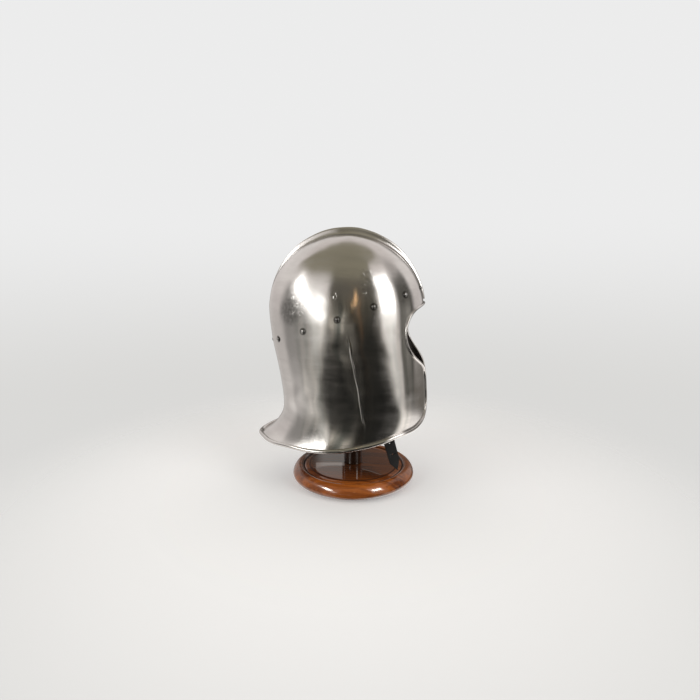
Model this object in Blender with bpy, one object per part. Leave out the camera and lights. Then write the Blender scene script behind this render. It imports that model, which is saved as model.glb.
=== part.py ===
"""A steel barbute on a turned wooden display stand. Metres, +Z up, the face toward -Y.
The helmet stands as displayed, tipped back so that the brow is raised. The wearer's right is -X."""

import math

import bmesh
import bpy
import numpy as np
from mathutils import Vector

for startup in list(bpy.data.objects):
    bpy.data.objects.remove(startup, do_unlink=True)

WALL = 0.0016  # steel sheet
UP = np.array([0.0, 0.0, 1.0])
GAP = 0.0003  # between neighbouring pieces
INNER_GAP = 0.0007  # inside the wall, whose flat facets stand in a little
GRID_AROUND = 27  # cells from the face to the nape on one side
GRID_DOWN = 25
ROLL_STEPS = 6  # facets round a rolled edge
RIM_ROLL, FACE_ROLL = 0.0028, 0.0018  # radius of the rolled edge below, and around the face

# Level sections of the skull's outer face, from the crown down, in mm. "square" fills out the
# corners of the oval.
SKULL_COLUMNS = ("z", "y_front", "y_back", "half_width", "square")
SKULL = (
    (366.0, 11.0, 11.0, 0.0, 0.000),
    (360.0, -26.5, 49.5, 28.2, 0.004),
    (349.5, -50.0, 72.2, 44.6, 0.006),
    (334.0, -70.0, 92.0, 60.3, 0.008),
    (314.0, -85.8, 108.2, 73.6, 0.010),
    (291.0, -96.6, 118.6, 82.9, 0.012),
    (266.0, -101.9, 123.3, 88.4, 0.012),
    (238.0, -103.4, 121.4, 90.2, 0.014),
    (210.0, -103.6, 116.6, 90.0, 0.020),
    (182.0, -104.4, 110.4, 89.0, 0.028),
    (156.0, -106.4, 105.9, 87.8, 0.030),
    (134.0, -107.8, 103.8, 86.8, 0.028),
    (116.0, -107.6, 104.3, 86.4, 0.022),
    (102.0, -105.9, 108.9, 86.9, 0.016),
    (90.0, -103.2, 117.2, 88.3, 0.010),
    (79.0, -100.6, 128.4, 90.8, 0.004),
    (69.0, -98.6, 142.4, 93.8, 0.000),
    (58.0, -96.6, 160.0, 97.4, 0.000),
)

# The bottom rim from the tail forward, seen from the side, in mm
RIM_COLUMNS = ("y", "z")
RIM = (
    (131.0, 71.8),
    (108.0, 72.8),
    (80.0, 74.6),
    (54.0, 74.0),
    (28.0, 74.6),
    (4.0, 76.6),
    (-20.0, 80.8),
    (-44.0, 85.8),
    (-66.0, 92.5),
)
TAIL_Z = 68.4

# The edge of the face opening from the cheek's lower corner up to the brow, seen from the front, in mm
FACE_COLUMNS = ("x", "z")
FACE = (
    (48.0, 98.0),
    (33.6, 103.4),
    (21.8, 109.4),
    (13.0, 118.0),
    (9.2, 127.0),
    (8.6, 142.0),
    (8.6, 157.0),
    (10.2, 169.0),
    (16.5, 178.0),
    (29.0, 185.6),
    (43.0, 193.4),
    (54.0, 203.0),
    (60.4, 215.4),
    (62.2, 229.0),
    (60.2, 243.0),
    (54.6, 255.0),
    (45.0, 263.0),
    (31.0, 267.4),
    (15.0, 269.6),
)
BROW_Z = 270.4

# The comb along the middle of the crown, by the angle up from the brow about the crown's centre
COMB_COLUMNS = ("angle", "height", "half_base")
COMB = (
    (7.0, 2.4, 2.9),
    (20.0, 3.4, 3.2),
    (36.0, 5.4, 4.2),
    (50.0, 7.8, 5.5),
    (64.0, 9.4, 6.5),
    (78.0, 10.6, 7.2),
    (91.0, 11.0, 7.5),
    (104.0, 10.3, 7.0),
    (120.0, 8.4, 5.8),
    (136.0, 6.2, 4.5),
    (152.0, 4.0, 3.5),
    (168.0, 3.0, 3.0),
    (184.0, 2.0, 2.6),
)
CROWN_Y, CROWN_Z = 0.0118, 0.262

# The turned stand, as (radius, z) in mm
BASE = (
    (8.3, 5.0),
    (8.3, 24.0),
    (65.6, 24.0),
    (66.8, 23.5),
    (67.4, 22.7),
    (72.8, 22.4),
    (74.4, 21.5),
    (75.6, 21.3),
    (76.6, 22.6),
    (78.4, 23.9),
    (81.2, 24.3),
    (84.6, 23.5),
    (87.8, 21.3),
    (90.4, 18.0),
    (92.0, 14.2),
    (92.2, 10.8),
    (90.8, 7.6),
    (87.8, 5.2),
    (83.0, 4.2),
    (79.0, 3.6),
    (78.2, 0.0),
    (8.3, 0.0),
)
POST = (
    (8.0, 5.6),
    (8.0, 24.3),
    (13.6, 24.3),
    (14.0, 24.8),
    (14.0, 40.0),
    (13.6, 70.0),
    (12.9, 150.0),
    (12.5, 240.0),
    (13.6, 290.0),
    (15.0, 300.0),
    (15.0, 305.0),
    (8.0, 305.0),
    (8.0, 328.0),
)
HEAD_DOWN = 0.062  # how far down from the crown the stand's head reaches

RIVETS_A_SIDE, RIVET_PITCH, RIVET_START = 7, 0.0503, 0.0126
RIVET_LEVEL, RIVET_Y, RIVET_SLOPE = 0.2534, 0.011, 0.358  # plane of the lining rivets
RIVET_HEAD, RIVET_DOME, RIVET_SHANK = 0.0033, 0.0026, 0.0012
STRAP_RIVET = 4  # counted from the nape
STRAP_WIDE, STRAP_THICK = 0.0162, 0.0018
# The right strap below its rivet, in mm: its middle's z and y, its distance from the wall's inner
# face, and the share of the full width
TAIL_COLUMNS = ("z", "y", "off", "width")
TAIL = (
    (250.0, -38.5, 2.3, 1.0),
    (225.0, -42.0, 2.5, 1.0),
    (200.0, -45.0, 2.5, 1.0),
    (175.0, -47.5, 2.7, 1.0),
    (150.0, -49.8, 4.0, 1.0),
    (136.0, -51.0, 6.0, 1.0),
    (124.0, -52.0, 7.8, 1.0),
    (112.0, -53.0, 7.2, 1.0),
    (101.0, -54.2, 5.0, 1.0),
    (90.0, -56.0, 4.2, 1.0),
    (79.0, -58.6, 4.4, 1.0),
    (66.0, -62.0, 4.4, 1.0),
    (54.0, -65.3, 4.4, 1.0),
    (40.4, -69.1, 4.4, 0.06),
)
HOLES = (64.5, 82.0, 99.5, 142.0)  # z of the holes along the right strap, in mm
HOLE_RADIUS = 0.0013
BUCKLE_Z, BUCKLE_ROD = 0.1240, 0.0013
# The left strap's run under the chin, in mm
CHIN_COLUMNS = ("x", "y", "z")
CHIN = (
    (70.0, -53.0, 124.0),
    (58.0, -51.0, 110.0),
    (36.0, -48.5, 102.0),
    (8.0, -46.5, 99.5),
    (-20.0, -45.0, 102.0),
    (-42.0, -43.5, 110.0),
)


def spline(at, values):
    """A natural cubic spline through the values, as a function."""
    at, values = np.asarray(at, float), np.asarray(values, float)
    n, h = len(at), np.diff(at)
    a = np.zeros((n, n))
    b = np.zeros(n)
    a[0, 0] = a[-1, -1] = 1
    for i in range(1, n - 1):
        a[i, i - 1 : i + 2] = h[i - 1], 2 * (h[i - 1] + h[i]), h[i]
        b[i] = 6 * ((values[i + 1] - values[i]) / h[i] - (values[i] - values[i - 1]) / h[i - 1])
    m = np.linalg.solve(a, b)

    def value(x):
        x = np.asarray(x, float)
        i = np.clip(np.searchsorted(at, x) - 1, 0, n - 2)
        p, q = (at[i + 1] - x) / h[i], (x - at[i]) / h[i]
        return (
            p * values[i]
            + q * values[i + 1]
            + ((p**3 - p) * m[i] + (q**3 - q) * m[i + 1]) * h[i] ** 2 / 6
        )

    return value


def skull_columns():
    """The table's columns as functions of the distance down from the crown."""
    z, front, back, wide, square = (np.array(c, float) / 1000 for c in zip(*SKULL))
    square *= 1000
    steps = [
        (math.hypot(front[i + 1] - front[i], z[i + 1] - z[i])
         + math.hypot(back[i + 1] - back[i], z[i + 1] - z[i])
         + math.hypot(wide[i + 1] - wide[i], z[i + 1] - z[i])) / 3
        for i in range(len(z) - 1)
    ]
    down = np.concatenate([[0], np.cumsum(steps)])
    over = slice(5, 0, -1)  # the same rows met again beyond the crown

    def column(here, beyond):
        return spline(
            np.concatenate([-down[over], down]), np.concatenate([beyond[over], here])
        )

    return down, {
        "z": column(z, z),
        "front": column(front, back),
        "back": column(back, front),
        "wide": column(wide, -wide),
        "square": column(square, square),
    }


DOWN, COLUMN = skull_columns()
LOWEST = float(DOWN[-1])


def skull(down, turn):
    """A point of the right half's outer face: "down" from the crown, "turn" from face (0) to nape (pi)."""
    front, back = COLUMN["front"](down), COLUMN["back"](down)
    wide, square = COLUMN["wide"](down), COLUMN["square"](down)
    x = -wide * (np.sin(turn) + square * np.sin(3 * turn)) / (1 - square)
    y = (front + back) / 2 + (front - back) / 2 * (
        np.cos(turn) - square * np.cos(3 * turn)
    ) / (1 - square)
    return np.stack(np.broadcast_arrays(x, y, COLUMN["z"](down)), -1)


def unit(v):
    return v / np.maximum(np.linalg.norm(v, axis=-1, keepdims=True), 1e-12)


def slopes(down, turn):
    e = 1e-5
    return (
        (skull(down + e, turn) - skull(down - e, turn)) / (2 * e),
        (skull(down, turn + e) - skull(down, turn - e)) / (2 * e),
    )


def outward(down, turn):
    """The outer face's unit normal."""
    down = np.maximum(down, 1e-4)
    a, b = slopes(down, turn)
    return unit(np.cross(b, a))


def down_of(z):
    d = np.linspace(0, LOWEST, 4000)
    return np.interp(-np.asarray(z, float), -COLUMN["z"](d), d)


def turn_of(down, axis, value, low, high):
    """The turn at which the section reaches this x or y."""
    rising = skull(down, high)[axis] > skull(down, low)[axis]
    for _ in range(60):
        middle = (low + high) / 2
        if (skull(down, middle)[axis] < value) == rising:
            low = middle
        else:
            high = middle
    return (low + high) / 2


def edge_outline(samples):
    """The sheet's edge on the right half, from the tail round to the brow, as rows (turn, down)."""
    rows = [(math.pi, float(down_of(TAIL_Z / 1000)))]
    for y, z in RIM:
        down = float(down_of(z / 1000))
        rows.append((turn_of(down, 1, y / 1000, 0.0, math.pi), down))
    for x, z in FACE:
        down = float(down_of(z / 1000))
        rows.append((turn_of(down, 0, -x / 1000, 0.0, 1.45), down))
    rows.append((0.0, float(down_of(BROW_Z / 1000))))
    mirrored = [(2 * math.pi - rows[i][0], rows[i][1]) for i in (2, 1)]
    beyond = [(-rows[-i][0], rows[-i][1]) for i in (2, 3)]
    whole = np.array(mirrored + rows + beyond)
    steps = np.hypot(np.diff(whole[:, 0]) * 0.1, np.diff(whole[:, 1]))
    at = np.concatenate([[0], np.cumsum(steps)])
    turn, down = spline(at, whole[:, 0]), spline(at, whole[:, 1])
    k = np.linspace(at[2], at[-3], samples)
    line = np.stack([turn(k), down(k)], -1)
    line[0, 0], line[-1, 0] = math.pi, 0.0
    return line


def edge_frame(line):
    """For each row of the outline: point, outward normal, the way off the sheet, and the roll's radius."""
    down, turn = line[:, 1], line[:, 0]
    point, normal = skull(down, turn), outward(down, turn)
    along = unit(np.gradient(point, axis=0))
    along[0], along[-1] = (-1, 0, 0), (1, 0, 0)
    off = unit(np.cross(along, normal))
    high = np.clip((point[:, 2] - 0.088) / 0.03, 0, 1) * np.clip((0.01 - point[:, 1]) / 0.08, 0, 1)
    blend = high * high * (3 - 2 * high)
    return point, normal, off, RIM_ROLL + (FACE_ROLL - RIM_ROLL) * blend


def inboard(line, distance):
    """The outline moved back over the sheet by a distance, in (turn, down)."""
    _, _, off, _ = edge_frame(line)
    a, b = slopes(line[:, 1], line[:, 0])
    moved = line.copy()
    for i in range(len(line)):
        step = np.linalg.lstsq(
            np.stack([b[i], a[i]], -1), -off[i] * distance[i], rcond=None
        )[0]
        moved[i] += step
    moved[0, 0], moved[-1, 0] = math.pi, 0.0
    return moved


def inside(points, polygon):
    """Which points lie inside a closed polygon."""
    x, y = points[:, 0], points[:, 1]
    found = np.zeros(len(points), bool)
    for (ax, ay), (bx, by) in zip(polygon, np.roll(polygon, -1, axis=0)):
        if ay == by:
            continue
        crossed = (ay > y) != (by > y)
        found ^= crossed & (x < (bx - ax) * (y - ay) / (by - ay) + ax)
    return found


def crossing(a, b, line):
    """How far from a to b the segment first meets the line, or None."""
    p, q = line[:-1], line[1:] - line[:-1]
    d = b - a
    cross = d[0] * q[:, 1] - d[1] * q[:, 0]
    cross = np.where(np.abs(cross) < 1e-15, 1e-15, cross)
    t = ((p[:, 0] - a[0]) * q[:, 1] - (p[:, 1] - a[1]) * q[:, 0]) / cross
    u = ((p[:, 0] - a[0]) * d[1] - (p[:, 1] - a[1]) * d[0]) / cross
    hit = (t >= -1e-9) & (t <= 1 + 1e-9) & (u >= -1e-9) & (u <= 1 + 1e-9)
    return float(np.clip(t[hit].min(), 0, 1)) if hit.any() else None


def sheet_grid(around, downward, line):
    """The right half's grid, its border cells drawn onto the line. Returns (turn, down) and faces."""
    turns = np.linspace(0, math.pi, around + 1)
    downs = LOWEST * np.linspace(0, 1, downward + 1)
    grid = np.stack(np.meshgrid(turns, downs, indexing="ij"), -1)
    polygon = np.concatenate(
        [[(math.pi + 1, line[0, 1])], line, [(-1, line[-1, 1]), (-1, -1), (math.pi + 1, -1)]]
    )
    kept = inside(grid.reshape(-1, 2), polygon).reshape(grid.shape[:2])
    moved, nearest = grid.copy(), np.full(kept.shape, 2.0)
    for i in range(around + 1):
        for j in range(downward + 1):
            for k, m in ((i + 1, j), (i, j + 1)):
                if k > around or m > downward or kept[i, j] == kept[k, m]:
                    continue
                t = crossing(grid[i, j], grid[k, m], line)
                if t is None:
                    continue
                at = grid[i, j] + t * (grid[k, m] - grid[i, j])
                for (p, q), near in (((i, j), t), ((k, m), 1 - t)):
                    if p in (0, around) and k != i:
                        continue
                    limit = 0.5 if not (k != i and (i == 0 or k == around)) else 1.0
                    if near <= limit and near < nearest[p, q]:
                        nearest[p, q], moved[p, q] = near, at
    edge = nearest < 1.5
    use = kept | edge
    faces = []
    for i in range(around):
        for j in range(downward):
            corners = [(i, j), (i, j + 1), (i + 1, j + 1), (i + 1, j)]
            good = [c for c in corners if use[c]]
            if len(good) < 3:
                continue
            if all(edge[c] for c in good):
                middle = np.mean([moved[c] for c in good], axis=0)
                if not inside(middle[None], polygon)[0]:
                    continue
            faces.append(good)
    return moved, faces, edge


def shell_mesh(around, downward, roll_steps, samples=500):
    """The whole sheet with its rolled edge as one closed body: points, faces."""
    outline = edge_outline(samples)
    point, normal, off, roll = edge_frame(outline)
    height = roll - WALL + 0.0002
    reach = np.sqrt(roll**2 - height**2)
    line = inboard(outline, reach)
    grid, faces, edge = sheet_grid(around, downward, line)
    points, number, turns, downs, sides = [], {}, [], [], []

    def vertex(cell, side):
        i, j = cell
        if j == 0:
            i, side = 0, 1
        if i in (0, around):
            side = 1
        key = (i, j, side)
        if key not in number:
            number[key] = len(turns)
            turns.append(grid[i, j, 0])
            downs.append(grid[i, j, 1])
            sides.append(side)
        return number[key]

    outer = []
    for face in faces:
        for side in (1, -1):
            ids = [vertex(c, side) for c in face]
            ids = [v for n, v in enumerate(ids) if v != ids[n - 1]]
            if len(ids) > 2:
                outer.append(ids if side > 0 else ids[::-1])
    turns, downs, sides = np.array(turns), np.array(downs), np.array(sides)
    face_out = skull(downs, turns)
    way = outward(downs, turns)
    way[turns == 0, 0] = 0
    way[turns == math.pi, 0] = 0
    way[downs == 0] = (0, 0, 1)
    way = unit(way)
    face_in = face_out - way * WALL
    mirror = np.stack([sides, np.ones(len(sides)), np.ones(len(sides))], -1)
    points = [face_out * mirror, face_in * mirror]
    total = len(turns)
    faces = [list(f) for f in outer] + [[v + total for v in f[::-1]] for f in outer]
    used = {}
    for f in outer:
        for n, v in enumerate(f):
            used[(v, f[(n + 1) % len(f)])] = True
    border = {a: b for a, b in used if (b, a) not in used}
    start = next(iter(border))
    loop = [start]
    while border[loop[-1]] != start:
        loop.append(border[loop[-1]])
    rolled = []
    for v in loop:
        at = np.array([turns[v], downs[v]])
        gap = (line - at) * (0.1, 1.0)
        k = int((gap**2).sum(1).argmin())
        m = min(max(k, 1), len(line) - 2)
        best = (m, 0.0, 1e9)
        for n in (m - 1, m):
            d = (line[n + 1] - line[n]) * (0.1, 1.0)
            t = float(np.clip(((at - line[n]) * (0.1, 1.0)) @ d / (d @ d), 0, 1))
            miss = np.linalg.norm((at - line[n]) * (0.1, 1.0) - t * d)
            if miss < best[2]:
                best = (n, t, miss)
        n, t, _ = best

        def mix(values):
            return values[n] * (1 - t) + values[n + 1] * t

        r, h, g = mix(roll), mix(height), mix(reach)
        up, out = unit(mix(normal)), unit(mix(off))
        if turns[v] in (0, math.pi):
            out = unit(out * (0, 1, 1))
        up = unit(up - out * (up @ out))
        centre = face_out[v] + out * g + up * h
        ring = []
        first = math.pi + math.atan2(h, g)
        for step in range(1, roll_steps + 1):
            angle = first + (-math.pi / 2 - first) * step / roll_steps
            ring.append(centre + r * (math.cos(angle) * out + math.sin(angle) * up))
        rolled.append(np.array(ring) * mirror[v])
    base = 2 * total
    points.append(np.concatenate(rolled))
    count = len(loop)
    for a in range(count):
        b = (a + 1) % count
        left = [loop[a]] + [base + a * roll_steps + n for n in range(roll_steps)] + [loop[a] + total]
        right = [loop[b]] + [base + b * roll_steps + n for n in range(roll_steps)] + [loop[b] + total]
        for n in range(roll_steps + 1):
            faces.append([left[n], left[n + 1], right[n + 1], right[n]])
    return np.concatenate(points), faces


def material(name, colour, metallic, roughness, coat=0.0):
    made = bpy.data.materials.new(name)
    made.use_nodes = True
    shader = made.node_tree.nodes["Principled BSDF"]
    shader.inputs["Base Color"].default_value = (*colour, 1)
    shader.inputs["Metallic"].default_value = metallic
    shader.inputs["Roughness"].default_value = roughness
    shader.inputs["Coat Weight"].default_value = coat
    return made


STEEL = material("steel", (0.62, 0.61, 0.60), 1.0, 0.28)
RIVET_STEEL = material("rivet_steel", (0.66, 0.65, 0.64), 1.0, 0.2)
LEATHER = material("leather", (0.018, 0.017, 0.017), 0.0, 0.5)
IRON = material("iron", (0.20, 0.19, 0.18), 1.0, 0.4)
WOOD = material("wood", (0.27, 0.075, 0.022), 0.0, 0.3, 0.8)
POST_WOOD = material("post_wood", (0.10, 0.035, 0.016), 0.0, 0.35, 0.6)


def group(name, place):
    """An empty that carries the pieces of one assembly."""
    empty = bpy.data.objects.new(name, None)
    empty.location = place
    bpy.context.scene.collection.objects.link(empty)
    return empty


def carry(item, parent):
    """Parents a piece without moving it."""
    item.parent = parent
    item.location = item.location - parent.location


def make(name, points, faces, look, smooth=True, place=(0.0, 0.0, 0.0)):
    """One object from a mesh whose points are taken from "place"."""
    mesh = bpy.data.meshes.new(name)
    points = np.asarray(points) - place
    mesh.from_pydata([tuple(p) for p in points], [], [list(f) for f in faces])
    work = bmesh.new()
    work.from_mesh(mesh)
    bmesh.ops.remove_doubles(work, verts=work.verts, dist=1e-7)
    bmesh.ops.recalc_face_normals(work, faces=work.faces)
    work.to_mesh(mesh)
    work.free()
    mesh.materials.append(look)
    if smooth:
        mesh.shade_smooth()
        mesh.set_sharp_from_angle(angle=math.radians(50))
    item = bpy.data.objects.new(name, mesh)
    item.location = place
    bpy.context.scene.collection.objects.link(item)
    return item


def boolean(item, helper, operation):
    helper.hide_render = True
    helper.display_type = "WIRE"
    step = item.modifiers.new(operation.lower(), "BOOLEAN")
    step.operation, step.object, step.solver = operation, helper, "EXACT"
    return item


def sweep(rings):
    """Closed rings joined in order and capped: points, faces."""
    count = len(rings[0])
    points = np.concatenate(rings)
    faces = [list(range(count))[::-1], [len(points) - count + n for n in range(count)]]
    for r in range(len(rings) - 1):
        for n in range(count):
            m = (n + 1) % count
            faces.append(
                [r * count + n, r * count + m, (r + 1) * count + m, (r + 1) * count + n]
            )
    return points, faces


def turned(name, rows, look, steps=36):
    """A turned piece from (radius, z) rows in mm, on the Z axis; a row of radius 0 closes an end."""
    rings, cap = [], []
    for radius, z in rows:
        if radius == 0:
            cap.append((0, 0, z / 1000))
            continue
        angles = np.arange(steps) * 2 * math.pi / steps
        rings.append(
            np.stack(
                [radius / 1000 * np.cos(angles), radius / 1000 * np.sin(angles), np.full(steps, z / 1000)],
                -1,
            )
        )
    points, faces = sweep(rings)
    return make(name, points, faces, look, place=(0.0, 0.0, rows[0][1] / 1000))


def median(angle):
    """The crown's middle line at an angle up from the brow: point and outward normal."""
    ray = np.array([-math.cos(angle), math.sin(angle)])
    low, high = 0.05, 0.2
    for _ in range(50):
        middle = (low + high) / 2
        y, z = CROWN_Y + ray[0] * middle, CROWN_Z + ray[1] * middle
        down = float(down_of(min(z, SKULL[0][0] / 1000)))
        limit = COLUMN["front" if y < 0.0115 else "back"](down)
        beyond = z > SKULL[0][0] / 1000 or (y < limit if y < 0.0115 else y > limit)
        low, high = (low, middle) if beyond else (middle, high)
    return np.array([0, CROWN_Y + ray[0] * low, CROWN_Z + ray[1] * low])


def comb_mesh(steps, across, sunk=0.0009):
    """The comb as a solid set into the crown. "across" rows are (share of half base, share of height)."""
    angle, height, base = zip(*COMB)
    high, wide = spline(angle, height), spline(angle, base)
    at = np.linspace(angle[0], angle[-1], steps + 1)
    path = np.array([median(math.radians(a)) for a in at])
    along = unit(np.gradient(path, axis=0))
    rings = []
    for n, a in enumerate(at):
        up = np.array([0, along[n][2], -along[n][1]])
        up *= np.sign(up @ (path[n] - (0, CROWN_Y, CROWN_Z)))
        ring = [
            path[n] + np.array([side * x * wide(a) / 1000, 0, 0]) + up * (h * high(a) / 1000)
            for side, rows in ((-1, across), (1, across[-2::-1]))
            for x, h in rows
        ]
        sink = [path[n] + np.array([x * wide(a) / 1000, 0, 0]) - up * sunk for x in (1.0, -1.0)]
        rings.append(np.array(ring + sink))
    return sweep(rings)


def rivet_places():
    """(turn, down) of the right-hand lining rivets, from the nape to the brow, evenly spaced."""
    turns = np.linspace(math.pi, 0, 1500)
    downs = np.full(len(turns), float(down_of(RIVET_LEVEL)))
    for _ in range(30):
        y = skull(downs, turns)[:, 1]
        downs = down_of(RIVET_LEVEL - RIVET_SLOPE * (y - RIVET_Y))
    run = np.concatenate([[0], np.cumsum(np.linalg.norm(np.diff(skull(downs, turns), axis=0), axis=1))])
    wanted = RIVET_START + RIVET_PITCH * np.arange(RIVETS_A_SIDE)
    return [(float(np.interp(w, run, turns)), float(np.interp(w, run, downs))) for w in wanted]


def round_rings(centre, way, rows, steps):
    """Rings about an axis: rows are (radius, height along the axis)."""
    side = unit(np.cross(way, (0.0, 0.0, 1.0) if abs(way[2]) < 0.9 else (0.0, 1.0, 0.0)))
    up = np.cross(way, side)
    angles = np.arange(steps) * 2 * math.pi / steps
    return [
        centre + way * height + radius * (np.cos(angles)[:, None] * side + np.sin(angles)[:, None] * up)
        for radius, height in rows
    ]


def rivet_rows(inner):
    """Profile from the inner end to the dome; "inner" is how far inside the outer face the inner end sits."""
    head, dome = RIVET_HEAD, RIVET_DOME
    return (
        (0.0021, -inner - 0.0010),
        (0.0024, -inner - 0.0004),
        (0.0024, -inner),
        (RIVET_SHANK, -inner),
        (RIVET_SHANK, GAP),
        (head * 0.97, GAP),
        (head, GAP + dome * 0.22),
        (head * 0.84, GAP + dome * 0.62),
        (head * 0.50, GAP + dome * 0.91),
        (head * 0.15, GAP + dome),
    )


def ribbon(path, widths, wide, thick=STRAP_THICK):
    """A flat strap along a path; "wide" holds each row's direction across the strap."""
    along = unit(np.gradient(path, axis=0))
    rings = []
    for p, t, w, across in zip(path, along, wide, widths):
        w = unit(w - t * (w @ t))
        n = np.cross(t, w)
        rings.append(
            np.array(
                [p + w * a * across / 2 + n * b * thick / 2 for a, b in ((-1, -1), (1, -1), (1, 1), (-1, 1))]
            )
        )
    return sweep(rings)


def wall_place(y, z, off, side=-1):
    """A point off the wall's inner face at this y and z, with the outward normal and the level direction along the wall."""
    down = float(down_of(z))
    turn = turn_of(down, 1, y, 0.0, math.pi)
    way = outward(down, turn)
    point = skull(down, turn) - way * (WALL + off)
    along = unit(slopes(down, turn)[1] * (1, 1, 0))
    flip = np.array([-side, 1, 1])
    return point * flip, way * flip, along * flip


def through(knots, count, extra=()):
    """A smooth path through the knots, and any extra columns taken along with it."""
    knots = np.asarray(knots, float)
    at = np.concatenate([[0], np.cumsum(np.linalg.norm(np.diff(knots, axis=0), axis=1))])
    k = np.linspace(0, at[-1], count)
    path = np.stack([spline(at, c)(k) for c in knots.T], -1)
    return path, [
        np.stack([np.interp(k, at, c) for c in np.asarray(e, float).reshape(len(at), -1).T], -1)
        for e in extra
    ]


def strap_start(side):
    """Knots at the strap's riveted end: a short end above the rivet, the rivet, and a little below."""
    turn, down = rivet_places()[STRAP_RIVET]
    point, way = skull(down, turn), outward(down, turn)
    below = skull(down + 0.009, turn + 0.02)
    above = skull(down - 0.008, turn - 0.012)
    knots = []
    for p, w in ((above, outward(down - 0.008, turn - 0.012)), (point, way), (below, outward(down + 0.009, turn + 0.02))):
        knots.append((p - w * (WALL + INNER_GAP + STRAP_THICK / 2)) * (-side, 1, 1))
    along = unit(slopes(down, turn)[1]) * (-side, 1, 1)
    return knots, along


def cutters(name, parts, look):
    """Several closed solids as one helper."""
    points, faces, count = [], [], 0
    for p, f in parts:
        points.append(p)
        faces += [[v + count for v in face] for face in f]
        count += len(p)
    return make(name, np.concatenate(points), faces, look)


def straps():
    # The right strap: from its rivet down inside the cheek, through the clasp, to its pointed end.
    knots, first = strap_start(-1)
    widths, wides = [STRAP_WIDE] * 3, [first] * 3
    for z, y, off, share in TAIL:
        point, _, along = wall_place(y / 1000, max(z, 80.0) / 1000, off / 1000)
        knots.append(np.array([point[0], y / 1000, z / 1000]))
        widths.append(STRAP_WIDE * share)
        wides.append(along)
    path, (across, wide) = through(knots, 46, (widths, wides))
    tip = 1 - np.clip((0.0540 - path[:, 2]) / 0.0136, 0, 1) * 0.94
    across = STRAP_WIDE * tip
    right = make("strap_right", *ribbon(path, across, wide), LEATHER, False)
    along = unit(np.gradient(path, axis=0))
    holes = []
    for z in HOLES:
        n = int(np.abs(path[:, 2] - z / 1000).argmin())
        t = float((path[n, 2] - z / 1000))
        centre = path[n] + along[n] * t / max(-along[n][2], 0.2)
        side = unit(wide[n] - along[n] * (wide[n] @ along[n]))
        way = np.cross(along[n], side)
        holes.append(sweep(round_rings(centre, way, ((HOLE_RADIUS, -0.004), (HOLE_RADIUS, 0.004)), 8)))
    turn, down = rivet_places()[STRAP_RIVET]
    pin = sweep(round_rings(skull(down, turn), outward(down, turn), ((RIVET_SHANK + GAP, -0.008), (RIVET_SHANK + GAP, 0.004)), 10))
    boolean(right, cutters("right_holes", holes + [pin], LEATHER), "DIFFERENCE")
    # The clasp: a plain oblong ring round the right strap.
    n = int(np.abs(path[:, 2] - BUCKLE_Z).argmin())
    centre, down_way = path[n], along[n]
    side = unit(wide[n] - down_way * (wide[n] @ down_way))
    inward = unit(np.cross(down_way, side))
    inward *= np.sign(inward @ -centre)
    half, near, far = STRAP_WIDE / 2 + 0.0008 + BUCKLE_ROD, -0.0009 - 0.0004 - BUCKLE_ROD, 0.0009 + 0.0004 + STRAP_THICK + 0.0003 + BUCKLE_ROD
    corners = [(-half, near), (half, near), (half, far), (-half, far)]
    rings = []
    for k, (a, b) in enumerate(corners):
        corner = centre + side * a + inward * b
        diagonal = side * np.sign(a) + inward * (1 if b > 0 else -1)
        rings.append(
            np.array([
                corner + BUCKLE_ROD * (math.cos(q) * diagonal + math.sin(q) * down_way)
                for q in np.arange(8) * math.pi / 4
            ])
        )
    points = np.concatenate(rings)
    faces = [
        [r * 8 + n, r * 8 + (n + 1) % 8, (r + 1) % 4 * 8 + (n + 1) % 8, (r + 1) % 4 * 8 + n]
        for r in range(4)
        for n in range(8)
    ]
    make("buckle", points, faces, IRON, place=centre)
    # The left strap: from its rivet down the cheek, under the chin, round the ring's inner bar and back.
    knots, first = strap_start(1)
    wides = [first] * 3
    for z, y, off, _ in TAIL[:5]:
        point, _, along = wall_place(y / 1000, z / 1000, off / 1000, 1)
        knots.append(point)
        wides.append(along)
    for x, y, z in CHIN:
        knots.append(np.array([x, y, z]) / 1000)
        wides.append(np.array([0.0, 1.0, 0.0]) if abs(x) < 40 else wides[-1] * 0.5 + np.array([0, 0.5, 0]))
    wides[-1] = side * np.sign(side[1]) * 0.6 + np.array([0, 0.4, 0])
    bar, loop = centre + inward * far, BUCKLE_ROD + GAP + STRAP_THICK / 2 + 0.0001
    rise = -down_way
    for a, b in ((0.0125, -0.0034), (0.006, -0.0027)):
        knots.append(bar + inward * a + rise * b)
    for q in (-90, -120, -150, 180, 150, 120, 90):
        knots.append(bar + loop * (math.cos(math.radians(q)) * inward + math.sin(math.radians(q)) * rise))
    for a, b in ((0.004, 0.0024), (0.009, 0.0013), (0.014, 0.0004)):
        knots.append(bar + inward * a + rise * b)
    wides += [side * np.sign(side[1])] * 12
    knots, wides = np.array(knots), np.array(wides)
    at = np.concatenate([[0], np.cumsum(np.linalg.norm(np.diff(knots, axis=0), axis=1))])
    k = np.concatenate([np.linspace(0, at[-13], 34)[:-1], at[-13:]])
    path = np.stack([spline(at, c)(k) for c in knots.T], -1)
    wide = np.stack([np.interp(k, at, c) for c in wides.T], -1)
    left = make("strap_left", *ribbon(path, np.full(len(path), STRAP_WIDE), wide), LEATHER, False)
    flip = np.array([-1, 1, 1])
    pin = sweep(round_rings(skull(down, turn) * flip, outward(down, turn) * flip, ((RIVET_SHANK + GAP, -0.008), (RIVET_SHANK + GAP, 0.004)), 10))
    boolean(left, cutters("left_holes", [pin], LEATHER), "DIFFERENCE")


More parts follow.
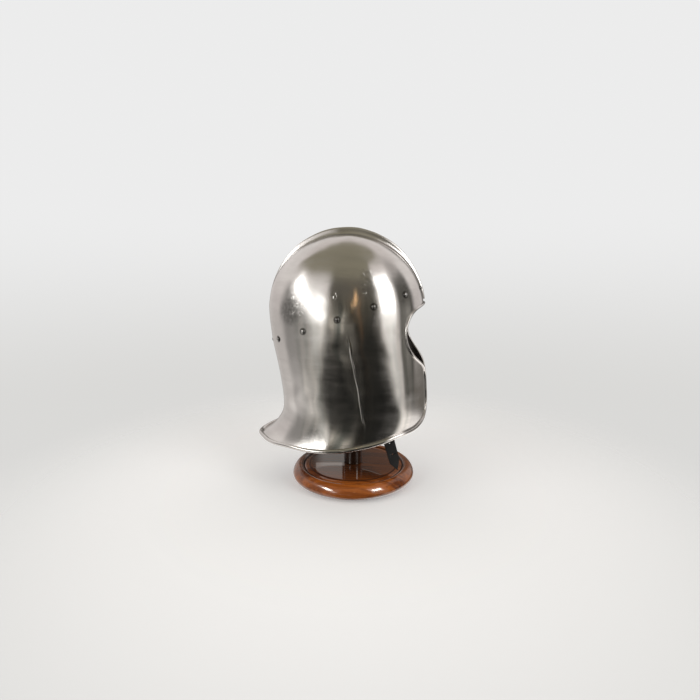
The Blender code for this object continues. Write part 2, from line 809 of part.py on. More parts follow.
def stand():
    turned("stand_base", BASE, WOOD, 40)
    turned("stand_post", POST, POST_WOOD, 24)
    # The stand's head fills the crown, a hair off the steel.
    downs = np.linspace(0, HEAD_DOWN, 7)[1:]
    turns = np.linspace(0, math.pi, 13)
    rings = []
    for d in downs:
        half = skull(d, turns) - outward(np.full(13, d), turns) * (WALL + INNER_GAP + GAP)
        rings.append(np.concatenate([half, (half * (-1, 1, 1))[-2:0:-1]]))
    last = rings[-1]
    middle = last.mean(0)
    floor = middle + (last - middle) * (0.93, 0.93, 1.0)
    floor[:, 2] = last[:, 2].min() - 0.012
    points, faces = sweep(rings + [floor])
    head = make("stand_head", points, faces, POST_WOOD)
    socket = sweep(round_rings(np.array([0, 0, 0.0]), np.array([0, 0, 1.0]), ((0.0083, 0.2), (0.0083, POST[-1][1] / 1000 + 0.0006)), 20))
    boolean(head, make("socket", *socket, POST_WOOD), "DIFFERENCE")


def main():
    points, faces = shell_mesh(GRID_AROUND, GRID_DOWN, ROLL_STEPS)
    helmet = make("barbute_skull", points, faces, STEEL)
    comb = make("comb_shape", *comb_mesh(34, ((1.0, 0.0), (0.62, 0.26), (0.36, 0.66), (0.17, 0.96), (0.0, 1.0))), STEEL)
    boolean(helmet, comb, "UNION")
    holes = []
    for n, (turn, down) in enumerate(rivet_places()):
        point, way = skull(down, turn), outward(down, turn)
        inner = WALL + INNER_GAP + (STRAP_THICK + 3 * GAP if n == STRAP_RIVET else 0)
        for side, flip in (("right", 1), ("left", -1)):
            at, axis = point * (flip, 1, 1), way * (flip, 1, 1)
            rivet = make(f"rivet_{side}_{n + 1}", *sweep(round_rings(np.zeros(3), UP, rivet_rows(inner), 8)), RIVET_STEEL)
            rivet.location = at
            rivet.rotation_euler = Vector(axis).to_track_quat("Z", "Y").to_euler()
            holes.append(sweep(round_rings(at, axis, ((RIVET_SHANK + GAP, -0.006), (RIVET_SHANK + GAP, 0.006)), 10)))
    boolean(helmet, cutters("rivet_holes", holes, STEEL), "DIFFERENCE")
    straps()
    stand()
    bpy.context.view_layer.update()
    worn, wooden = group("helmet", (0, CROWN_Y, CROWN_Z)), group("stand", (0, 0, 0))
    for item in list(bpy.context.scene.objects):
        if item.type == "MESH":
            carry(item, wooden if item.name.startswith(("stand", "socket")) else worn)


main()
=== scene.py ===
"""The looks of a steel barbute on a turned wooden display stand. Metres, +Z up, the face toward -Y.
The wearer's right is -X, which the photograph shows."""

import math

import bmesh
import bpy
import numpy as np
from mathutils import Matrix, Vector


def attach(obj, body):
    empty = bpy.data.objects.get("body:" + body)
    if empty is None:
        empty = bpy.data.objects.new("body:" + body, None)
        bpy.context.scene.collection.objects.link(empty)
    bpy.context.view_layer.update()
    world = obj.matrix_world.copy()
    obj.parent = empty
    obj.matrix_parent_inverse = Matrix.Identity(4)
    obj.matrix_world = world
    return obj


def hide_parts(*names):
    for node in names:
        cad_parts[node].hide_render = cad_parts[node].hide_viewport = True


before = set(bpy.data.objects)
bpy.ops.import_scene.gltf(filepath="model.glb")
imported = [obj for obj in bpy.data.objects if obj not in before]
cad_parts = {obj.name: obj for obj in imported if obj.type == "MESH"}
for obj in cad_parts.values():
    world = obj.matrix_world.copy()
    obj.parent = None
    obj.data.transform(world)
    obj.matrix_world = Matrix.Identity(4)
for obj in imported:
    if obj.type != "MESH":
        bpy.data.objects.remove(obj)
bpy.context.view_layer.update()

WALL = 0.0016  # steel sheet
UP = np.array([0.0, 0.0, 1.0])
GAP = 0.0003  # between neighbouring pieces
INNER_GAP = 0.0007  # inside the wall, whose flat facets stand in a little
GRID_AROUND = 116  # cells from the face to the nape on one side
GRID_DOWN = 126
ROLL_STEPS = 16  # facets round a rolled edge
RIM_ROLL, FACE_ROLL = 0.0028, 0.0018  # radius of the rolled edge below, and around the face

# Level sections of the skull's outer face, from the crown down, in mm. "square" fills out the
# corners of the oval.
SKULL_COLUMNS = ("z", "y_front", "y_back", "half_width", "square")
SKULL = (
    (366.0, 11.0, 11.0, 0.0, 0.000),
    (360.0, -26.5, 49.5, 28.2, 0.004),
    (349.5, -50.0, 72.2, 44.6, 0.006),
    (334.0, -70.0, 92.0, 60.3, 0.008),
    (314.0, -85.8, 108.2, 73.6, 0.010),
    (291.0, -96.6, 118.6, 82.9, 0.012),
    (266.0, -101.9, 123.3, 88.4, 0.012),
    (238.0, -103.4, 121.4, 90.2, 0.014),
    (210.0, -103.6, 116.6, 90.0, 0.020),
    (182.0, -104.4, 110.4, 89.0, 0.028),
    (156.0, -106.4, 105.9, 87.8, 0.030),
    (134.0, -107.8, 103.8, 86.8, 0.028),
    (116.0, -107.6, 104.3, 86.4, 0.022),
    (102.0, -105.9, 108.9, 86.9, 0.016),
    (90.0, -103.2, 117.2, 88.3, 0.010),
    (79.0, -100.6, 128.4, 90.8, 0.004),
    (69.0, -98.6, 142.4, 93.8, 0.000),
    (58.0, -96.6, 160.0, 97.4, 0.000),
)

# The bottom rim from the tail forward, seen from the side, in mm
RIM_COLUMNS = ("y", "z")
RIM = (
    (131.0, 71.8),
    (108.0, 72.8),
    (80.0, 74.6),
    (54.0, 74.0),
    (28.0, 74.6),
    (4.0, 76.6),
    (-20.0, 80.8),
    (-44.0, 85.8),
    (-66.0, 92.5),
)
TAIL_Z = 68.4

# The edge of the face opening from the cheek's lower corner up to the brow, seen from the front, in mm
FACE_COLUMNS = ("x", "z")
FACE = (
    (48.0, 98.0),
    (33.6, 103.4),
    (21.8, 109.4),
    (13.0, 118.0),
    (9.2, 127.0),
    (8.6, 142.0),
    (8.6, 157.0),
    (10.2, 169.0),
    (16.5, 178.0),
    (29.0, 185.6),
    (43.0, 193.4),
    (54.0, 203.0),
    (60.4, 215.4),
    (62.2, 229.0),
    (60.2, 243.0),
    (54.6, 255.0),
    (45.0, 263.0),
    (31.0, 267.4),
    (15.0, 269.6),
)
BROW_Z = 270.4

# The comb along the middle of the crown, by the angle up from the brow about the crown's centre
COMB_COLUMNS = ("angle", "height", "half_base")
COMB = (
    (7.0, 2.4, 2.9),
    (20.0, 3.4, 3.2),
    (36.0, 5.4, 4.2),
    (50.0, 7.8, 5.5),
    (64.0, 9.4, 6.5),
    (78.0, 10.6, 7.2),
    (91.0, 11.0, 7.5),
    (104.0, 10.3, 7.0),
    (120.0, 8.4, 5.8),
    (136.0, 6.2, 4.5),
    (152.0, 4.0, 3.5),
    (168.0, 3.0, 3.0),
    (184.0, 2.0, 2.6),
)
CROWN_Y, CROWN_Z = 0.0118, 0.262

# The turned stand, as (radius, z) in mm
BASE = (
    (8.3, 5.0),
    (8.3, 24.0),
    (65.6, 24.0),
    (66.8, 23.5),
    (67.4, 22.7),
    (72.8, 22.4),
    (74.4, 21.5),
    (75.6, 21.3),
    (76.6, 22.6),
    (78.4, 23.9),
    (81.2, 24.3),
    (84.6, 23.5),
    (87.8, 21.3),
    (90.4, 18.0),
    (92.0, 14.2),
    (92.2, 10.8),
    (90.8, 7.6),
    (87.8, 5.2),
    (83.0, 4.2),
    (79.0, 3.6),
    (78.2, 0.0),
    (8.3, 0.0),
)
POST = (
    (8.0, 5.6),
    (8.0, 24.3),
    (13.6, 24.3),
    (14.0, 24.8),
    (14.0, 40.0),
    (13.6, 70.0),
    (12.9, 150.0),
    (12.5, 240.0),
    (13.6, 290.0),
    (15.0, 300.0),
    (15.0, 305.0),
    (8.0, 305.0),
    (8.0, 328.0),
)
HEAD_DOWN = 0.062  # how far down from the crown the stand's head reaches

RIVETS_A_SIDE, RIVET_PITCH, RIVET_START = 7, 0.0503, 0.0126
RIVET_LEVEL, RIVET_Y, RIVET_SLOPE = 0.2534, 0.011, 0.358  # plane of the lining rivets
RIVET_HEAD, RIVET_DOME, RIVET_SHANK = 0.0033, 0.0026, 0.0012
STRAP_RIVET = 4  # counted from the nape
STRAP_WIDE, STRAP_THICK = 0.0162, 0.0018
# The right strap below its rivet, in mm: its middle's z and y, its distance from the wall's inner
# face, and the share of the full width
TAIL_COLUMNS = ("z", "y", "off", "width")
TAIL = (
    (250.0, -38.5, 2.3, 1.0),
    (225.0, -42.0, 2.5, 1.0),
    (200.0, -45.0, 2.5, 1.0),
    (175.0, -47.5, 2.7, 1.0),
    (150.0, -49.8, 4.0, 1.0),
    (136.0, -51.0, 6.0, 1.0),
    (124.0, -52.0, 7.8, 1.0),
    (112.0, -53.0, 7.2, 1.0),
    (101.0, -54.2, 5.0, 1.0),
    (90.0, -56.0, 4.2, 1.0),
    (79.0, -58.6, 4.4, 1.0),
    (66.0, -62.0, 4.4, 1.0),
    (54.0, -65.3, 4.4, 1.0),
    (40.4, -69.1, 4.4, 0.06),
)
HOLES = (64.5, 82.0, 99.5, 142.0)  # z of the holes along the right strap, in mm
HOLE_RADIUS = 0.0013
BUCKLE_Z, BUCKLE_ROD = 0.1240, 0.0013
# The left strap's run under the chin, in mm
CHIN_COLUMNS = ("x", "y", "z")
CHIN = (
    (70.0, -53.0, 124.0),
    (58.0, -51.0, 110.0),
    (36.0, -48.5, 102.0),
    (8.0, -46.5, 99.5),
    (-20.0, -45.0, 102.0),
    (-42.0, -43.5, 110.0),
)


def spline(at, values):
    """A natural cubic spline through the values, as a function."""
    at, values = np.asarray(at, float), np.asarray(values, float)
    n, h = len(at), np.diff(at)
    a = np.zeros((n, n))
    b = np.zeros(n)
    a[0, 0] = a[-1, -1] = 1
    for i in range(1, n - 1):
        a[i, i - 1 : i + 2] = h[i - 1], 2 * (h[i - 1] + h[i]), h[i]
        b[i] = 6 * ((values[i + 1] - values[i]) / h[i] - (values[i] - values[i - 1]) / h[i - 1])
    m = np.linalg.solve(a, b)

    def value(x):
        x = np.asarray(x, float)
        i = np.clip(np.searchsorted(at, x) - 1, 0, n - 2)
        p, q = (at[i + 1] - x) / h[i], (x - at[i]) / h[i]
        return (
            p * values[i]
            + q * values[i + 1]
            + ((p**3 - p) * m[i] + (q**3 - q) * m[i + 1]) * h[i] ** 2 / 6
        )

    return value


def skull_columns():
    """The table's columns as functions of the distance down from the crown."""
    z, front, back, wide, square = (np.array(c, float) / 1000 for c in zip(*SKULL))
    square *= 1000
    steps = [
        (math.hypot(front[i + 1] - front[i], z[i + 1] - z[i])
         + math.hypot(back[i + 1] - back[i], z[i + 1] - z[i])
         + math.hypot(wide[i + 1] - wide[i], z[i + 1] - z[i])) / 3
        for i in range(len(z) - 1)
    ]
    down = np.concatenate([[0], np.cumsum(steps)])
    over = slice(5, 0, -1)  # the same rows met again beyond the crown

    def column(here, beyond):
        return spline(
            np.concatenate([-down[over], down]), np.concatenate([beyond[over], here])
        )

    return down, {
        "z": column(z, z),
        "front": column(front, back),
        "back": column(back, front),
        "wide": column(wide, -wide),
        "square": column(square, square),
    }


DOWN, COLUMN = skull_columns()
LOWEST = float(DOWN[-1])


def skull(down, turn):
    """A point of the right half's outer face: "down" from the crown, "turn" from face (0) to nape (pi)."""
    front, back = COLUMN["front"](down), COLUMN["back"](down)
    wide, square = COLUMN["wide"](down), COLUMN["square"](down)
    x = -wide * (np.sin(turn) + square * np.sin(3 * turn)) / (1 - square)
    y = (front + back) / 2 + (front - back) / 2 * (
        np.cos(turn) - square * np.cos(3 * turn)
    ) / (1 - square)
    return np.stack(np.broadcast_arrays(x, y, COLUMN["z"](down)), -1)


def unit(v):
    return v / np.maximum(np.linalg.norm(v, axis=-1, keepdims=True), 1e-12)


def slopes(down, turn):
    e = 1e-5
    return (
        (skull(down + e, turn) - skull(down - e, turn)) / (2 * e),
        (skull(down, turn + e) - skull(down, turn - e)) / (2 * e),
    )


def outward(down, turn):
    """The outer face's unit normal."""
    down = np.maximum(down, 1e-4)
    a, b = slopes(down, turn)
    return unit(np.cross(b, a))


def down_of(z):
    d = np.linspace(0, LOWEST, 4000)
    return np.interp(-np.asarray(z, float), -COLUMN["z"](d), d)


def turn_of(down, axis, value, low, high):
    """The turn at which the section reaches this x or y."""
    rising = skull(down, high)[axis] > skull(down, low)[axis]
    for _ in range(60):
        middle = (low + high) / 2
        if (skull(down, middle)[axis] < value) == rising:
            low = middle
        else:
            high = middle
    return (low + high) / 2


def edge_outline(samples):
    """The sheet's edge on the right half, from the tail round to the brow, as rows (turn, down)."""
    rows = [(math.pi, float(down_of(TAIL_Z / 1000)))]
    for y, z in RIM:
        down = float(down_of(z / 1000))
        rows.append((turn_of(down, 1, y / 1000, 0.0, math.pi), down))
    for x, z in FACE:
        down = float(down_of(z / 1000))
        rows.append((turn_of(down, 0, -x / 1000, 0.0, 1.45), down))
    rows.append((0.0, float(down_of(BROW_Z / 1000))))
    mirrored = [(2 * math.pi - rows[i][0], rows[i][1]) for i in (2, 1)]
    beyond = [(-rows[-i][0], rows[-i][1]) for i in (2, 3)]
    whole = np.array(mirrored + rows + beyond)
    steps = np.hypot(np.diff(whole[:, 0]) * 0.1, np.diff(whole[:, 1]))
    at = np.concatenate([[0], np.cumsum(steps)])
    turn, down = spline(at, whole[:, 0]), spline(at, whole[:, 1])
    k = np.linspace(at[2], at[-3], samples)
    line = np.stack([turn(k), down(k)], -1)
    line[0, 0], line[-1, 0] = math.pi, 0.0
    return line


def edge_frame(line):
    """For each row of the outline: point, outward normal, the way off the sheet, and the roll's radius."""
    down, turn = line[:, 1], line[:, 0]
    point, normal = skull(down, turn), outward(down, turn)
    along = unit(np.gradient(point, axis=0))
    along[0], along[-1] = (-1, 0, 0), (1, 0, 0)
    off = unit(np.cross(along, normal))
    high = np.clip((point[:, 2] - 0.088) / 0.03, 0, 1) * np.clip((0.01 - point[:, 1]) / 0.08, 0, 1)
    blend = high * high * (3 - 2 * high)
    return point, normal, off, RIM_ROLL + (FACE_ROLL - RIM_ROLL) * blend


def inboard(line, distance):
    """The outline moved back over the sheet by a distance, in (turn, down)."""
    _, _, off, _ = edge_frame(line)
    a, b = slopes(line[:, 1], line[:, 0])
    moved = line.copy()
    for i in range(len(line)):
        step = np.linalg.lstsq(
            np.stack([b[i], a[i]], -1), -off[i] * distance[i], rcond=None
        )[0]
        moved[i] += step
    moved[0, 0], moved[-1, 0] = math.pi, 0.0
    return moved


def inside(points, polygon):
    """Which points lie inside a closed polygon."""
    x, y = points[:, 0], points[:, 1]
    found = np.zeros(len(points), bool)
    for (ax, ay), (bx, by) in zip(polygon, np.roll(polygon, -1, axis=0)):
        if ay == by:
            continue
        crossed = (ay > y) != (by > y)
        found ^= crossed & (x < (bx - ax) * (y - ay) / (by - ay) + ax)
    return found


def crossing(a, b, line):
    """How far from a to b the segment first meets the line, or None."""
    p, q = line[:-1], line[1:] - line[:-1]
    d = b - a
    cross = d[0] * q[:, 1] - d[1] * q[:, 0]
    cross = np.where(np.abs(cross) < 1e-15, 1e-15, cross)
    t = ((p[:, 0] - a[0]) * q[:, 1] - (p[:, 1] - a[1]) * q[:, 0]) / cross
    u = ((p[:, 0] - a[0]) * d[1] - (p[:, 1] - a[1]) * d[0]) / cross
    hit = (t >= -1e-9) & (t <= 1 + 1e-9) & (u >= -1e-9) & (u <= 1 + 1e-9)
    return float(np.clip(t[hit].min(), 0, 1)) if hit.any() else None


def sheet_grid(around, downward, line):
    """The right half's grid, its border cells drawn onto the line. Returns (turn, down) and faces."""
    turns = np.linspace(0, math.pi, around + 1)
    downs = LOWEST * np.linspace(0, 1, downward + 1)
    grid = np.stack(np.meshgrid(turns, downs, indexing="ij"), -1)
    polygon = np.concatenate(
        [[(math.pi + 1, line[0, 1])], line, [(-1, line[-1, 1]), (-1, -1), (math.pi + 1, -1)]]
    )
    kept = inside(grid.reshape(-1, 2), polygon).reshape(grid.shape[:2])
    moved, nearest = grid.copy(), np.full(kept.shape, 2.0)
    for i in range(around + 1):
        for j in range(downward + 1):
            for k, m in ((i + 1, j), (i, j + 1)):
                if k > around or m > downward or kept[i, j] == kept[k, m]:
                    continue
                t = crossing(grid[i, j], grid[k, m], line)
                if t is None:
                    continue
                at = grid[i, j] + t * (grid[k, m] - grid[i, j])
                for (p, q), near in (((i, j), t), ((k, m), 1 - t)):
                    if p in (0, around) and k != i:
                        continue
                    limit = 0.5 if not (k != i and (i == 0 or k == around)) else 1.0
                    if near <= limit and near < nearest[p, q]:
                        nearest[p, q], moved[p, q] = near, at
    edge = nearest < 1.5
    use = kept | edge
    faces = []
    for i in range(around):
        for j in range(downward):
            corners = [(i, j), (i, j + 1), (i + 1, j + 1), (i + 1, j)]
            good = [c for c in corners if use[c]]
            if len(good) < 3:
                continue
            if all(edge[c] for c in good):
                middle = np.mean([moved[c] for c in good], axis=0)
                if not inside(middle[None], polygon)[0]:
                    continue
            faces.append(good)
    return moved, faces, edge


def shell_mesh(around, downward, roll_steps, samples=500):
    """The whole sheet with its rolled edge as one closed body: points, faces, and 1 for each point on the inside."""
    outline = edge_outline(samples)
    point, normal, off, roll = edge_frame(outline)
    height = roll - WALL + 0.0002
    reach = np.sqrt(roll**2 - height**2)
    line = inboard(outline, reach)
    grid, faces, edge = sheet_grid(around, downward, line)
    points, number, turns, downs, sides = [], {}, [], [], []

    def vertex(cell, side):
        i, j = cell
        if j == 0:
            i, side = 0, 1
        if i in (0, around):
            side = 1
        key = (i, j, side)
        if key not in number:
            number[key] = len(turns)
            turns.append(grid[i, j, 0])
            downs.append(grid[i, j, 1])
            sides.append(side)
        return number[key]

    outer = []
    for face in faces:
        for side in (1, -1):
            ids = [vertex(c, side) for c in face]
            ids = [v for n, v in enumerate(ids) if v != ids[n - 1]]
            if len(ids) > 2:
                outer.append(ids if side > 0 else ids[::-1])
    turns, downs, sides = np.array(turns), np.array(downs), np.array(sides)
    face_out = skull(downs, turns)
    way = outward(downs, turns)
    way[turns == 0, 0] = 0
    way[turns == math.pi, 0] = 0
    way[downs == 0] = (0, 0, 1)
    way = unit(way)
    face_in = face_out - way * WALL
    mirror = np.stack([sides, np.ones(len(sides)), np.ones(len(sides))], -1)
    points = [face_out * mirror, face_in * mirror]
    total = len(turns)
    faces = [list(f) for f in outer] + [[v + total for v in f[::-1]] for f in outer]
    used = {}
    for f in outer:
        for n, v in enumerate(f):
            used[(v, f[(n + 1) % len(f)])] = True
    border = {a: b for a, b in used if (b, a) not in used}
    start = next(iter(border))
    loop = [start]
    while border[loop[-1]] != start:
        loop.append(border[loop[-1]])
    rolled = []
    for v in loop:
        at = np.array([turns[v], downs[v]])
        gap = (line - at) * (0.1, 1.0)
        k = int((gap**2).sum(1).argmin())
        m = min(max(k, 1), len(line) - 2)
        best = (m, 0.0, 1e9)
        for n in (m - 1, m):
            d = (line[n + 1] - line[n]) * (0.1, 1.0)
            t = float(np.clip(((at - line[n]) * (0.1, 1.0)) @ d / (d @ d), 0, 1))
            miss = np.linalg.norm((at - line[n]) * (0.1, 1.0) - t * d)
            if miss < best[2]:
                best = (n, t, miss)
        n, t, _ = best

        def mix(values):
            return values[n] * (1 - t) + values[n + 1] * t

        r, h, g = mix(roll), mix(height), mix(reach)
        up, out = unit(mix(normal)), unit(mix(off))
        if turns[v] in (0, math.pi):
            out = unit(out * (0, 1, 1))
        up = unit(up - out * (up @ out))
        centre = face_out[v] + out * g + up * h
        ring = []
        first = math.pi + math.atan2(h, g)
        for step in range(1, roll_steps + 1):
            angle = first + (-math.pi / 2 - first) * step / roll_steps
            ring.append(centre + r * (math.cos(angle) * out + math.sin(angle) * up))
        rolled.append(np.array(ring) * mirror[v])
    base = 2 * total
    points.append(np.concatenate(rolled))
    count = len(loop)
    for a in range(count):
        b = (a + 1) % count
        left = [loop[a]] + [base + a * roll_steps + n for n in range(roll_steps)] + [loop[a] + total]
        right = [loop[b]] + [base + b * roll_steps + n for n in range(roll_steps)] + [loop[b] + total]
        for n in range(roll_steps + 1):
            faces.append([left[n], left[n + 1], right[n + 1], right[n]])
    marks = np.concatenate([np.zeros(total), np.ones(total), np.tile(np.linspace(0, 1, roll_steps + 1)[1:] > 0.75, count)])
    return np.concatenate(points), faces, marks


def sweep(rings):
    """Closed rings joined in order and capped: points, faces."""
    count = len(rings[0])
    points = np.concatenate(rings)
    faces = [list(range(count))[::-1], [len(points) - count + n for n in range(count)]]
    for r in range(len(rings) - 1):
        for n in range(count):
            m = (n + 1) % count
            faces.append(
                [r * count + n, r * count + m, (r + 1) * count + m, (r + 1) * count + n]
            )
    return points, faces


def median(angle):
    """The crown's middle line at an angle up from the brow: point and outward normal."""
    ray = np.array([-math.cos(angle), math.sin(angle)])
    low, high = 0.05, 0.2
    for _ in range(50):
        middle = (low + high) / 2
        y, z = CROWN_Y + ray[0] * middle, CROWN_Z + ray[1] * middle
        down = float(down_of(min(z, SKULL[0][0] / 1000)))
        limit = COLUMN["front" if y < 0.0115 else "back"](down)
        beyond = z > SKULL[0][0] / 1000 or (y < limit if y < 0.0115 else y > limit)
        low, high = (low, middle) if beyond else (middle, high)
    return np.array([0, CROWN_Y + ray[0] * low, CROWN_Z + ray[1] * low])


def comb_mesh(steps, across, sunk=0.0009):
    """The comb as a solid set into the crown. "across" rows are (share of half base, share of height)."""
    angle, height, base = zip(*COMB)
    high, wide = spline(angle, height), spline(angle, base)
    at = np.linspace(angle[0], angle[-1], steps + 1)
    path = np.array([median(math.radians(a)) for a in at])
    along = unit(np.gradient(path, axis=0))
    rings = []
    for n, a in enumerate(at):
        up = np.array([0, along[n][2], -along[n][1]])
        up *= np.sign(up @ (path[n] - (0, CROWN_Y, CROWN_Z)))
        ring = [
            path[n] + np.array([side * x * wide(a) / 1000, 0, 0]) + up * (h * high(a) / 1000)
            for side, rows in ((-1, across), (1, across[-2::-1]))
            for x, h in rows
        ]
        sink = [path[n] + np.array([x * wide(a) / 1000, 0, 0]) - up * sunk for x in (1.0, -1.0)]
        rings.append(np.array(ring + sink))
    return sweep(rings)


def rivet_places():
    """(turn, down) of the right-hand lining rivets, from the nape to the brow, evenly spaced."""
    turns = np.linspace(math.pi, 0, 1500)
    downs = np.full(len(turns), float(down_of(RIVET_LEVEL)))
    for _ in range(30):
        y = skull(downs, turns)[:, 1]
        downs = down_of(RIVET_LEVEL - RIVET_SLOPE * (y - RIVET_Y))
    run = np.concatenate([[0], np.cumsum(np.linalg.norm(np.diff(skull(downs, turns), axis=0), axis=1))])
    wanted = RIVET_START + RIVET_PITCH * np.arange(RIVETS_A_SIDE)
    return [(float(np.interp(w, run, turns)), float(np.interp(w, run, downs))) for w in wanted]


def round_rings(centre, way, rows, steps):
    """Rings about an axis: rows are (radius, height along the axis)."""
    side = unit(np.cross(way, (0.0, 0.0, 1.0) if abs(way[2]) < 0.9 else (0.0, 1.0, 0.0)))
    up = np.cross(way, side)
    angles = np.arange(steps) * 2 * math.pi / steps
    return [
        centre + way * height + radius * (np.cos(angles)[:, None] * side + np.sin(angles)[:, None] * up)
        for radius, height in rows
    ]


def ribbon(path, widths, wide, thick=STRAP_THICK):
    """A flat strap along a path; "wide" holds each row's direction across the strap."""
    along = unit(np.gradient(path, axis=0))
    rings = []
    for p, t, w, across in zip(path, along, wide, widths):
        w = unit(w - t * (w @ t))
        n = np.cross(t, w)
        rings.append(
            np.array(
                [p + w * a * across / 2 + n * b * thick / 2 for a, b in ((-1, -1), (1, -1), (1, 1), (-1, 1))]
            )
        )
    return sweep(rings)


def wall_place(y, z, off, side=-1):
    """A point off the wall's inner face at this y and z, with the outward normal and the level direction along the wall."""
    down = float(down_of(z))
    turn = turn_of(down, 1, y, 0.0, math.pi)
    way = outward(down, turn)
    point = skull(down, turn) - way * (WALL + off)
    along = unit(slopes(down, turn)[1] * (1, 1, 0))
    flip = np.array([-side, 1, 1])
    return point * flip, way * flip, along * flip


def through(knots, count, extra=()):
    """A smooth path through the knots, and any extra columns taken along with it."""
    knots = np.asarray(knots, float)
    at = np.concatenate([[0], np.cumsum(np.linalg.norm(np.diff(knots, axis=0), axis=1))])
    k = np.linspace(0, at[-1], count)
    path = np.stack([spline(at, c)(k) for c in knots.T], -1)
    return path, [
        np.stack([np.interp(k, at, c) for c in np.asarray(e, float).reshape(len(at), -1).T], -1)
        for e in extra
    ]


def strap_start(side):
    """Knots at the strap's riveted end: a short end above the rivet, the rivet, and a little below."""
    turn, down = rivet_places()[STRAP_RIVET]
    point, way = skull(down, turn), outward(down, turn)
    below = skull(down + 0.009, turn + 0.02)
    above = skull(down - 0.008, turn - 0.012)
    knots = []
    for p, w in ((above, outward(down - 0.008, turn - 0.012)), (point, way), (below, outward(down + 0.009, turn + 0.02))):
        knots.append((p - w * (WALL + INNER_GAP + STRAP_THICK / 2)) * (-side, 1, 1))
    along = unit(slopes(down, turn)[1]) * (-side, 1, 1)
    return knots, along


COMB_ROWS = (
    (1.0, 0.0),
    (0.86, 0.06),
    (0.73, 0.16),
    (0.62, 0.28),
    (0.52, 0.43),
    (0.43, 0.59),
    (0.35, 0.74),
    (0.27, 0.87),
    (0.18, 0.955),
    (0.09, 0.99),
    (0.0, 1.0),
)
FLIP = np.array([-1.0, 1.0, 1.0])
CAMERA_AT, CAMERA_YAW, CAMERA_PITCH, CAMERA_LENS = (-0.6983, -0.0807, 0.3205), 7.0, 9.8, 24.69


def make(name, points, faces, look, sharp=50.0, values=None):
    """One object from points and faces, closed up and facing out. "values" are named numbers of its points."""
    mesh = bpy.data.meshes.new(name)
    mesh.from_pydata([tuple(p) for p in points], [], [list(f) for f in faces])
    for key, numbers in (values or {}).items():
        layer = mesh.attributes.new(key, "FLOAT", "POINT")
        layer.data.foreach_set("value", np.asarray(numbers, np.float32))
    work = bmesh.new()
    work.from_mesh(mesh)
    bmesh.ops.remove_doubles(work, verts=work.verts, dist=1e-7)
    bmesh.ops.recalc_face_normals(work, faces=work.faces)
    work.to_mesh(mesh)
    work.free()
    mesh.materials.append(look)
    mesh.shade_smooth()
    mesh.set_sharp_from_angle(angle=math.radians(sharp))
    item = bpy.data.objects.new(name, mesh)
    bpy.context.scene.collection.objects.link(item)
    return item


def joined(parts):
    """Several bodies as one list of points and faces."""
    points, faces, count = [], [], 0
    for p, f in parts:
        points.append(p)
        faces += [[v + count for v in face] for face in f]
        count += len(p)
    return np.concatenate(points), faces


def cut(item, points, faces):
    """Takes closed shapes out of the piece."""
    helper = make("cutter", points, faces, item.data.materials[0])
    step = item.modifiers.new("holes", "BOOLEAN")
    step.operation, step.object, step.solver = "DIFFERENCE", helper, "EXACT"
    bpy.context.view_layer.update()
    shaped = item.evaluated_get(bpy.context.evaluated_depsgraph_get())
    fresh = bpy.data.meshes.new_from_object(shaped)
    item.modifiers.clear()
    item.data = fresh
    bpy.data.objects.remove(helper, do_unlink=True)
    return item


def placed(item, slot, *nodes):
    """The piece rides on the body and stands for these nodes."""
    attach(item, "root")
    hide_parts(*nodes)
    return item


